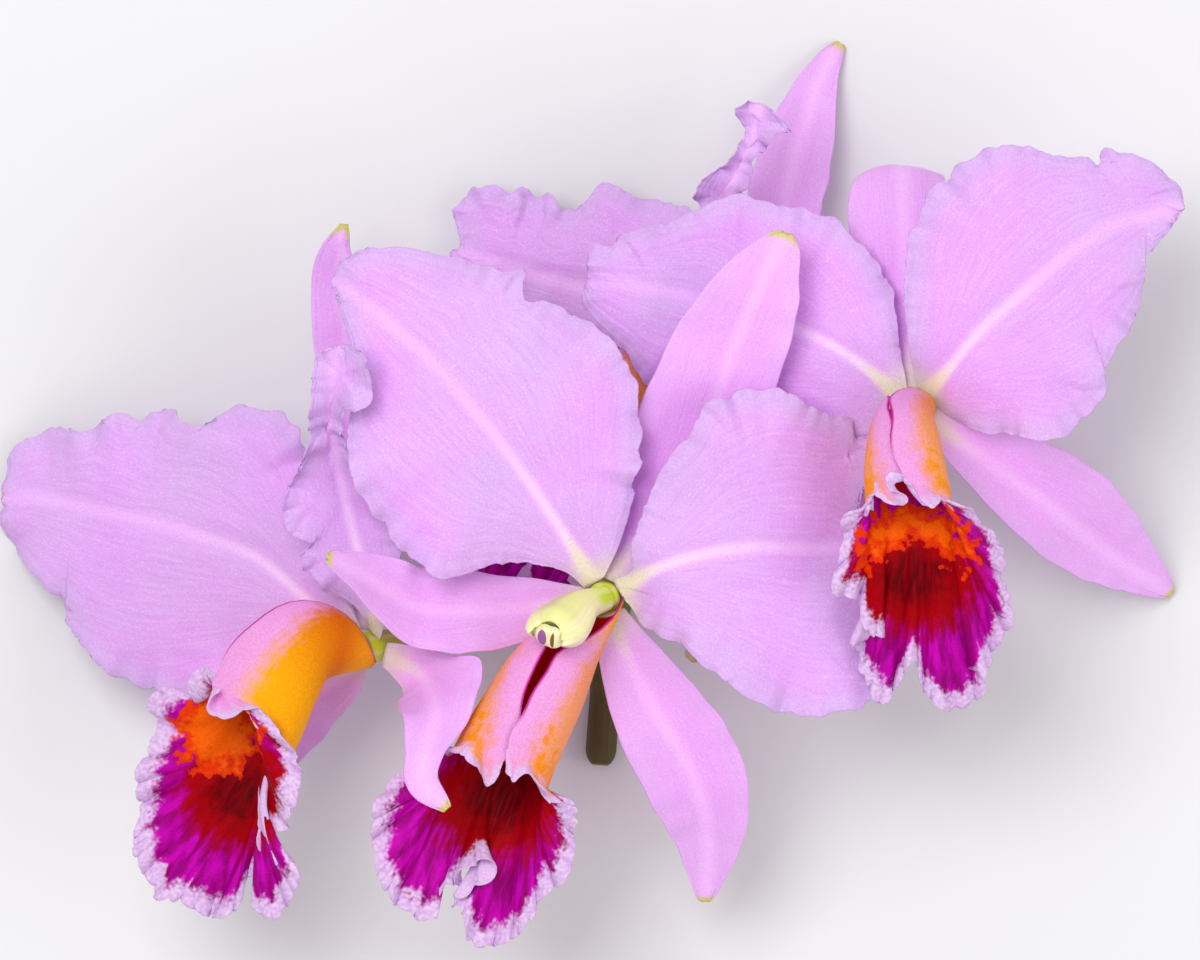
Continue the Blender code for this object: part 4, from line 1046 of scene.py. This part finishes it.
def lip_look():
    """Inside: heart, blaze, magenta and frill. Outside: pink along the slit, orange along the keel."""
    recipe = Recipe("lip", 0.5, Specular_IOR_Level=0.04)
    rim, slit, round_ = recipe.stored("rim"), recipe.stored("slit"), recipe.stored("round")
    stage = recipe.stored("stage")
    streak = recipe.grain(1.0, 5.0, (recipe.times(round_, 34.0), recipe.times(rim, 0.12), 0.0))
    blotch, crumb, grain = recipe.grain(420, 5.0), recipe.grain(1300, 3.0), recipe.grain(2600, 1.0)
    fray = recipe.less(recipe.times(recipe.plus(streak, blotch), 0.5), 0.5)
    speckle = recipe.less(blotch, 0.5)
    heart = recipe.plus(recipe.stored("heart"), recipe.times(fray, 1.5))
    blaze = recipe.plus(recipe.stored("blaze"), recipe.times(speckle, 1.7))
    crumbs = recipe.times(recipe.less(crumb, 0.5), 4.0)
    frill = recipe.plus(recipe.plus(rim, recipe.times(fray, 11.0)), crumbs)
    deep = recipe.blend(recipe.step(streak, 0.4, 0.62), shade(92, 0, 8), shade(142, 0, 6))
    pale = recipe.blend(recipe.step(crumb, 0.35, 0.65), shade(234, 202, 240), shade(214, 174, 228))
    inner = recipe.coats(
        shade(206, 6, 182),
        (recipe.step(streak, 0.35, 0.65), shade(146, 2, 112)),
        (recipe.step(heart, -0.5, 0.12), shade(166, 0, 8)),
        (recipe.step(heart, 0.15, 0.7), deep),
        # inside the tube: the lining's own red, painted far brighter as painted light standing in for light
        # that reaches the shaded tube through its thin walls
        (recipe.step(stage, 0.95, 0.7), shade(228, 26, 12)),
        (recipe.step(blaze, -0.06, 0.06), shade(230, 52, 2)),
        (recipe.step(blaze, 0.1, 0.5), shade(250, 100, 4)),
        (recipe.step(frill, 5.4, 2.6), pale),
    )
    mouthward = recipe.plus(recipe.times(speckle, 1.2), stage)
    salmon = recipe.blend(recipe.step(mouthward, 0.8, 1.0), shade(250, 158, 116), shade(252, 142, 30))
    amber = recipe.blend(recipe.step(stage, 0.9, 0.1), shade(252, 170, 8), shade(212, 96, 6))
    warm = recipe.plus(recipe.stored("warm"), recipe.times(fray, 0.4))
    low = recipe.step(recipe.calculate("ABSOLUTE", round_), 0.82, 0.6)
    lilac = recipe.times(recipe.step(stage, 1.02, 1.3), low)
    outer = recipe.coats(
        shade(240, 162, 226),
        (recipe.step(warm, -0.12, 0.1), recipe.blend(recipe.stored("gold"), salmon, amber)),
        (recipe.step(stage, 0.3, 0.08), shade(244, 160, 24)),
        (recipe.times(recipe.step(slit, 0.7, 0.15), recipe.step(stage, 0.9, 0.7)), shade(196, 40, 150)),
        (recipe.calculate("MAXIMUM", lilac, recipe.step(frill, 3.4, 1.2)), shade(226, 188, 234)),
    )
    colour = recipe.coats(
        inner,
        (recipe.stored("front"), outer),
        (recipe.step(grain, 0.6, 0.4), shade(60, 0, 40), 0.12),
    )
    relief = recipe.plus(recipe.times(streak, 0.6), recipe.times(grain, 0.4))
    return recipe.finish(colour, relief, 0.2)


look = lip_look()
for name in BLOOMS:
    thin_blade(f"{name}_lip", grids[name], LIP_THICKNESS, zones[name], look)
print("pieces made:", len(made))

# %% [markdown]
# In the middle of every orchid stands the column, where stamen and pistil have grown into one. It
# is a pale, waxy club with a ridged back, wings near its tip and a hollow on its underside. Rings
# along a bent path shape it, and the ring's outline changes on the way. The tip ends in small teeth
# on both sides of the anther cap, the loose lid over the pollen.

# %% Columns and anther caps
RECEPTACLE_TOP = 1.0
COLUMN_SIDES, COLUMN_RINGS = 72, 60
COLUMN_WIDTHS = (2.4, 3.0, 4.9, 6.2, 6.3)
COLUMN_DEPTHS = (2.4, 2.8, 3.4, 4.0, 4.6)
WING_LENGTH = 2.3
ANTHER_RADIUS, ANTHER_HEIGHT, ANTHER_RINGS = 3.15, 1.9, 22
ROUND_SIDES = 48


def ring_angles(sides):
    return 2 * math.pi * (np.arange(sides) + 0.5) / sides


def rings_along(path, widths, depths, upward, sides):
    """Oval rings square to a path; the depth is measured along the upward direction."""
    tangents = unit(np.gradient(path, axis=0))
    up = square_to(np.broadcast_to(upward, path.shape), tangents)
    across = np.cross(up, tangents)
    angles = ring_angles(sides)
    wide = across[:, None] * (np.cos(angles) * np.reshape(widths, (len(path), -1)))[..., None]
    deep = up[:, None] * (np.sin(angles) * np.reshape(depths, (len(path), -1)))[..., None]
    return path[:, None] + wide + deep


def tube_piece(name, rings, values, look):
    """A closed piece skinned over rings, with a point in the middle of each end."""
    count, sides = rings.shape[:2]
    points = np.concatenate([rings.reshape(-1, 3), rings[:1].mean(axis=1), rings[-1:].mean(axis=1)])
    here = (np.arange(count - 1)[:, None] * sides + np.arange(sides)).ravel()
    after = (np.arange(count - 1)[:, None] * sides + (np.arange(sides) + 1) % sides).ravel()
    skin = np.stack([here, after, after + sides, here + sides], axis=1)
    first, last = np.arange(sides), (count - 1) * sides + np.arange(sides)
    foot, head = count * sides, count * sides + 1
    ends = [(foot, b, a) for a, b in zip(first, np.roll(first, -1))]
    ends += [(head, a, b) for a, b in zip(last, np.roll(last, -1))]
    stored = {}
    for label, numbers in values.items():
        spread = np.broadcast_to(numbers, (count, sides))
        stored[label] = np.concatenate([spread.ravel(), [spread[0].mean()], [spread[-1].mean()]])
    faces = [*skin.tolist(), *(tuple(int(corner) for corner in end) for end in ends)]
    new_piece(name, points, faces, stored, look)


def column_path(bloom, steps):
    """The column's middle line, straight where it leaves the receptacle, and where its back faces."""
    centre = np.asarray(bloom["centre"], float)
    facing = unit(bloom["facing"])
    foot, neck = centre + np.array((RECEPTACLE_TOP + SEAT_GAP, 2.8))[:, None] * facing
    path = np.concatenate([[foot], even([neck, *bloom["column"]], np.linspace(0, 1, steps))])
    lean = path[-1] - centre
    back = (lean @ facing) * facing - lean if bloom["column_back"] is None else bloom["column_back"]
    return path, np.asarray(back, float)


def add_column(name, bloom, look):
    """The club on the receptacle: ridged back, hollow underside, wings and teeth at the tip."""
    path, back = column_path(bloom, 40)
    path = np.concatenate([path[:1], even(path, np.linspace(0, 1, COLUMN_RINGS))[1:]])
    stage = stages_along(path)
    angles = ring_angles(COLUMN_SIDES)
    off_back = (angles - math.pi / 2 + math.pi) % (2 * math.pi) - math.pi
    turned_off = np.abs(off_back)
    ridge = 0.16 * bump(turned_off, 0, 0.36) - 0.07 * bump(turned_off, 0.8, 0.25)
    hollow = -0.4 * bump(turned_off, math.pi, 0.6)
    outline = 1 + ridge + eased(stage, 0.45, 0.85)[:, None] * hollow
    rounding = np.sqrt(1 - 0.62 * np.clip((stage - 0.8) / 0.2, 0, 1) ** 2.4)
    slimness = bloom["column_width"]
    widths = slimness * (smooth(COLUMN_WIDTHS, stage) * rounding)[:, None] * outline
    depths = slimness * (smooth(COLUMN_DEPTHS, stage) * rounding)[:, None] * outline
    rings = rings_along(path, widths, depths, back, COLUMN_SIDES)
    forward = unit(path[-1] - path[-2])
    lobes = bump(turned_off, 1.4, 0.55) * (1 + 0.22 * np.cos(13 * angles))
    rings += (WING_LENGTH * lobes * eased(stage, 0.84, 1.0)[:, None])[..., None] * forward
    inner = path[-1] + (rings[-1] - path[-1]) * 0.9
    floor = path[-1] + (rings[-4] - path[-4]) * 0.8 - 0.2 * forward
    rings = np.concatenate([rings, inner[None], floor[None]])
    values = {"stage": np.append(stage, (1.0, 1.0))[:, None], "back": np.cos(turned_off)[None]}
    tube_piece(name, rings, values, look)


def add_anther(name, bloom, look):
    """The lid at the column's tip: a low two-lobed dome seated just off the column's end."""
    path, back = column_path(bloom, 7)
    forward = unit(path[-1] - path[-2])
    stage = np.linspace(0, 1, ANTHER_RINGS)
    centres = path[-1] + (SEAT_GAP + ANTHER_HEIGHT * stage)[:, None] * forward
    size = ANTHER_RADIUS * bloom["column_width"] * np.sqrt(np.maximum(1 - (stage * 0.98) ** 2.6, 0))
    angles = ring_angles(ROUND_SIDES)
    groove = 1 - 0.14 * bump(np.abs(angles - math.pi), math.pi / 2, 0.3)
    rings = rings_along(centres, size[:, None] * groove, 0.84 * size[:, None] * groove, back, ROUND_SIDES)
    spread = (size / size[0])[:, None]
    values = {"side": np.cos(angles) * spread, "back": np.sin(angles) * spread}
    tube_piece(name, rings, values, look)


# %% [markdown]
# The column is waxy cream, greener at its foot, with a brighter ridge and a blush on the wings. The
# cap carries the bloom's smallest marks, an upright purple oval ringed in brown and a brown slit
# beside it. They are painted as ovals on the dome, since carving would not show at this size.

# %% Finish of the columns and anther caps


def column_look():
    """Waxy cream, greener at the foot, with a faint blush and fine lengthwise streaks."""
    recipe = Recipe("column", 0.34, Specular_IOR_Level=0.5)
    stage, back = recipe.stored("stage"), recipe.stored("back")
    streak = recipe.grain(1.0, 2.0, (recipe.times(back, 9.0), stage, 0.0))
    colour = recipe.coats(
        shade(236, 232, 156),
        (recipe.step(streak, 0.3, 0.8), shade(246, 242, 196)),
        (recipe.step(stage, 0.36, 0.14), shade(192, 208, 30)),
        (recipe.step(back, 0.72, 0.95), shade(230, 236, 138), 0.6),
        (recipe.step(back, 0.4, -0.1), shade(238, 212, 204), 0.5),
        (recipe.step(back, -0.45, -0.8), shade(226, 178, 196)),
    )
    return recipe.finish(colour, recipe.grain(170, 3.0), 0.1)


def anther_look():
    """A cream lid with an upright purple oval, ringed in brown, and a brown slit beside it."""
    recipe = Recipe("anther", 0.3, Specular_IOR_Level=0.5)
    cloud = recipe.grain(500, 2.0)
    side, back = recipe.stored("side"), recipe.stored("back")

    def spot(place, width, height):
        """0 in the middle of an upright oval and 1 on its border."""
        wide = recipe.calculate("DIVIDE", recipe.less(side, place), width)
        tall = recipe.calculate("DIVIDE", back, height)
        return recipe.plus(recipe.times(wide, wide), recipe.times(tall, tall))

    colour = recipe.coats(
        shade(246, 240, 200),
        (recipe.step(cloud, 0.3, 0.7), shade(236, 230, 168)),
        (recipe.step(spot(-0.3, 0.34, 0.68), 1.1, 0.8), shade(140, 90, 60)),
        (recipe.step(spot(-0.3, 0.27, 0.6), 1.1, 0.8), shade(162, 80, 170)),
        (recipe.step(spot(0.42, 0.13, 0.66), 1.2, 0.7), shade(134, 78, 30)),
    )
    return recipe.finish(colour, cloud, 0.08)


column_finish, anther_finish = column_look(), anther_look()
for name, bloom in BLOOMS.items():
    add_column(f"{name}_column", bloom, column_finish)
    add_anther(f"{name}_anther_cap", bloom, anther_finish)
print("pieces made:", len(made))

# %% [markdown]
# Behind each bloom its own stalk swells into the ribbed ovary and ends in the green receptacle that
# shows as the bloom's bright centre. A papery scale, the bract, still clasps the foot of the stalk.
# The four stalks leave one flower stem, which was cut off clean and lies flat on the surface.

# %% Stem, stalks and bracts
PEDICEL_RADIUS = 1.9
STEM_RADIUS = 3.2
STEM_FLAT = 0.65
BRACT_THICKNESS = 0.6
BRACT_LENGTH = 8.0
BRACT_FLARE = 1.2
BRACT_SIDE = np.array((0.35, -0.85, 0.5))
STEM_PATH = [(1.6, -55.2), (3.0, -38.0), (5.4, -20.0), (10.6, -3.6), (16.6, 7.6), (21.6, 13.4)]
STEM_RADII = (STEM_RADIUS, STEM_RADIUS, STEM_RADIUS, 2.8, 2.2)
STEM_JOINTS = (0.22, 0.4, 0.6, 0.88)
STEM_RINGS = 120
PEDICEL_STEPS = 60
PEDICEL_SWELLING = (PEDICEL_RADIUS, PEDICEL_RADIUS, 2.1, 2.7, 3.0)
RECEPTACLE_HEIGHTS = (-2.4, -0.9, 0.0, RECEPTACLE_TOP - 0.4, RECEPTACLE_TOP - 0.1, RECEPTACLE_TOP)
RECEPTACLE_RADII = (3.1, 3.2, 3.2, 3.1, 2.6, 1.6)


def stem_path(places):
    """Points of the stem's middle line, its radii and its directions, at places from 0 to 1."""
    middle = np.array([(x, y, STEM_RADIUS - STEM_FLAT) for x, y in STEM_PATH])
    points = even(middle, places)
    tangents = unit(even(middle, np.minimum(places + 0.02, 1.02)) - even(middle, places - 0.02))
    return points, smooth(STEM_RADII, places), tangents


def pedicel_path(bloom, steps):
    """The stalk's middle line from the stem to the receptacle's top, straight at both ends."""
    centre = np.asarray(bloom["centre"], float)
    facing = unit(bloom["facing"])
    place, leaving = bloom["joins_stem"]
    joint, radius, tangent = (value[0] for value in stem_path(np.array([place])))
    leaving = tangent if leaving is None else unit(leaving)
    reach = SEAT_GAP + (0 if leaving is tangent else radius)
    foot, collar = joint + np.array((reach, reach + 2.5))[:, None] * leaving
    neck = centre - 4.0 * facing
    route = even([collar, *reversed(bloom["pedicel"]), neck], np.linspace(0, 1, steps))
    return np.concatenate([[foot], route, centre + np.array(RECEPTACLE_HEIGHTS)[:, None] * facing])


def add_pedicel(name, bloom, look):
    """The bloom's stalk, swelling into a ribbed ovary and the receptacle that carries the bloom."""
    path = pedicel_path(bloom, PEDICEL_STEPS)
    stalk = smooth(PEDICEL_SWELLING, np.linspace(0, 1, PEDICEL_STEPS + 1))
    radii = np.concatenate([stalk, RECEPTACLE_RADII])
    stage = stages_along(path)
    angles = ring_angles(ROUND_SIDES)
    ribs = 0.05 * (eased(stage, 0.55, 0.8) * (1 - eased(stage, 0.9, 0.97)))[:, None] * np.cos(6 * angles)
    dimples = 0.03 * eased(stage, 0.95, 1.0)[:, None] * np.cos(5 * angles + 1)
    outline = radii[:, None] * (1 + ribs + dimples)
    rings = rings_along(path, outline, outline, (0.3, 1.0, 0.2), ROUND_SIDES)
    values = {"stage": stage[:, None], "rib": np.cos(6 * angles)[None]}
    tube_piece(name, rings, values, look)


def add_bract(name, bloom, look):
    """The small papery scale that clasps the foot of a stalk on its lower side."""
    path = pedicel_path(bloom, 11)[:4]
    rows = np.linspace(0, 1, 33)
    axis = even(path, rows * BRACT_LENGTH / lengths_along(path)[-1])
    tangents = unit(np.gradient(axis, axis=0))
    down = square_to(np.broadcast_to(BRACT_SIDE, axis.shape), tangents)
    side = np.cross(tangents, down)
    round_ = np.linspace(-1, 1, 33)
    clasp = np.radians(smooth((62, 66, 54, 34, 8), rows))[:, None] * round_
    radius = PEDICEL_RADIUS + SEAT_GAP + BRACT_THICKNESS / 2 + 0.2 + BRACT_FLARE * rows**2
    radius = radius[:, None] + 0.12 * rows[:, None] * np.cos(9 * math.pi * round_)
    outward = np.cos(clasp)[..., None] * down[:, None] + np.sin(clasp)[..., None] * side[:, None]
    middle = axis[:, None] + radius[..., None] * outward
    edge = np.minimum((1 - np.abs(round_)) * 3, (1 - rows[:, None]) * BRACT_LENGTH)
    values = {"edge": edge, "round": round_ + 0 * edge, "stage": rows[:, None] + 0 * edge}
    thin_blade(name, middle, BRACT_THICKNESS, values, look)


def add_stem(look):
    """The flower stem, thicker at its joints and flat underneath where it lies on the surface."""
    places = np.linspace(0, 1, STEM_RINGS)
    path, radii, _ = stem_path(places)
    joints = sum(bump(places, joint, 0.012) for joint in STEM_JOINTS)
    angles = ring_angles(ROUND_SIDES)
    end = np.sqrt(1 - 0.75 * (1 - np.minimum(places / 0.045, 1)) ** 2)
    outline = (radii * end * (0.97 + 0.05 * joints))[:, None] * (1 + 0.012 * np.cos(9 * angles))
    rings = rings_along(path, outline, outline, UP, ROUND_SIDES)
    rings[..., 2] = np.maximum(rings[..., 2], 0)
    values = {"stage": places[:, None], "joint": joints[:, None], "round": np.cos(9 * angles)[None]}
    tube_piece("flower_stem", rings, values, look)


# %% [markdown]
# The green parts are plainer. Noise drawn out along each stalk gives fibres, the ovary's ribs and
# the stem's joints are picked out by stored numbers, and the bracts are dry and straw-coloured.

# %% Finish of the green parts


def pedicel_look():
    """Olive, paler on the ribs of the ovary and a fresh yellow-green on the receptacle."""
    recipe = Recipe("pedicel", 0.42, Specular_IOR_Level=0.45)
    cloud, stage = recipe.grain(220, 3.0), recipe.stored("stage")
    ribs = recipe.times(recipe.stored("rib"), recipe.step(stage, 0.6, 0.8))
    colour = recipe.coats(
        shade(120, 138, 38),
        (recipe.step(cloud, 0.3, 0.7), shade(150, 166, 52)),
        (recipe.step(stage, 0.6, 0.9), shade(178, 188, 70)),
        (recipe.step(stage, 0.93, 0.975), shade(192, 208, 22)),
        (recipe.step(ribs, 0.2, 1.0), shade(206, 200, 110)),
    )
    return recipe.finish(colour, cloud, 0.15)


def stem_look():
    """Green with brownish joints, browner towards the cut end and pale on the cut itself."""
    recipe = Recipe("stem", 0.5, Specular_IOR_Level=0.4)
    cloud, stage = recipe.grain(150, 3.0), recipe.stored("stage")
    around = recipe.times(recipe.stored("round"), 3.0)
    fibre = recipe.grain(1.0, 2.0, (around, recipe.times(stage, 6.0), 0.0))
    colour = recipe.coats(
        shade(92, 112, 34),
        (recipe.step(cloud, 0.35, 0.7), shade(116, 132, 44)),
        (recipe.step(recipe.stored("joint"), 0.2, 0.9), shade(142, 126, 72)),
        (recipe.step(stage, 0.45, 0.15), shade(84, 70, 24)),
        (recipe.step(stage, 0.006, 0.0), shade(150, 136, 78)),
    )
    return recipe.finish(colour, recipe.plus(fibre, cloud), 0.2)


def bract_look():
    """Dry and straw-coloured, with fine lengthwise ribs and a paler margin."""
    recipe = Recipe("bract", 0.68, Specular_IOR_Level=0.25)
    around = recipe.times(recipe.stored("round"), 14.0)
    rib = recipe.grain(1.0, 2.0, (around, recipe.stored("stage"), 0.0))
    colour = recipe.coats(
        shade(154, 146, 84),
        (recipe.step(rib, 0.35, 0.7), shade(112, 98, 50)),
        (recipe.step(recipe.stored("edge"), 1.2, 0.1), shade(176, 152, 100)),
    )
    return recipe.finish(colour, rib, 0.3)


stalk_finish, scale_finish = pedicel_look(), bract_look()
add_stem(stem_look())
for name, bloom in BLOOMS.items():
    add_pedicel(f"{name}_pedicel", bloom, stalk_finish)
    add_bract(f"{name}_bract", bloom, scale_finish)
faces = sum(len(piece.data.polygons) for piece in made)
print("pieces:", len(made), "with", faces, "faces")

# %% [markdown]
# The spray lies on a plain pale surface in a pale, even light, so that its own colours carry the
# picture. The photograph looks straight at the middle blooms from well away, so the camera hangs
# high above and looks straight down through a very long lens. Softboxes left and right of it model
# the forms without hard shadows. They are hidden from the camera, so no view shows them.

# %% Surface, light and camera
FLOOR_RADIUS = 6.0
CAMERA_HEIGHT = 5.05
CAMERA_LENS = 750.0
PICTURE_MIDDLE = (0.00185, 0.00213)


def add_floor():
    corners = 96
    angles = 2 * math.pi * np.arange(corners) / corners
    points = [(FLOOR_RADIUS * math.cos(a), FLOOR_RADIUS * math.sin(a), -0.0002) for a in angles]
    mesh = bpy.data.meshes.new("surface")
    mesh.from_pydata(points, [], [tuple(range(corners))])
    recipe = Recipe("surface", 0.75, Specular_IOR_Level=0.2)
    cloud = recipe.grain(9, 2.0)
    mesh.materials.append(recipe.finish(recipe.blend(cloud, shade(226, 226, 228), shade(232, 232, 233))))
    floor = bpy.data.objects.new("surface", mesh)
    bpy.context.scene.collection.objects.link(floor)
    floor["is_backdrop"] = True


def add_softbox(name, place, size, power):
    light = bpy.data.lights.new(name, "AREA")
    light.size = size
    light.energy = power
    box = bpy.data.objects.new(name, light)
    box.location = place
    box.rotation_mode = "QUATERNION"
    box.rotation_quaternion = box.location.to_track_quat("Z", "Y")
    box.visible_camera = False
    bpy.context.scene.collection.objects.link(box)


add_floor()
add_softbox("key_softbox", (-0.6, 0.55, 1.9), 1.1, 23)
add_softbox("fill_softbox", (1.3, -0.5, 1.4), 1.4, 11)
world = bpy.data.worlds.new("pale_room")
world.use_nodes = True
world.node_tree.nodes["Background"].inputs["Color"].default_value = (1.0, 1.0, 1.0, 1.0)
world.node_tree.nodes["Background"].inputs["Strength"].default_value = 0.56
bpy.context.scene.world = world
bpy.context.scene.view_settings.view_transform = "Standard"

lens = bpy.data.cameras.new("camera")
lens.lens = CAMERA_LENS
lens.clip_end = 50
camera = bpy.data.objects.new("camera", lens)
camera.location = (*PICTURE_MIDDLE, CAMERA_HEIGHT)
bpy.context.scene.collection.objects.link(camera)
bpy.context.scene.camera = camera
print("the picture is", round(36 / CAMERA_LENS * (CAMERA_HEIGHT - 0.05) * 1000), "mm wide at the blooms")

# %% [markdown]
# The box of the dressed spray is measured too, and both boxes are printed in millimetres, so that
# they can be set side by side. The dressed spray must stay in the box of the solid one.

# %% Print both boxes
bpy.context.view_layer.update()
dressed_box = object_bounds()
boxes = {"solid": solid_box, "dressed": dressed_box}
for label, box in boxes.items():
    print(label, "box in mm:", [[round(1000 * number, 1) for number in corner] for corner in box])
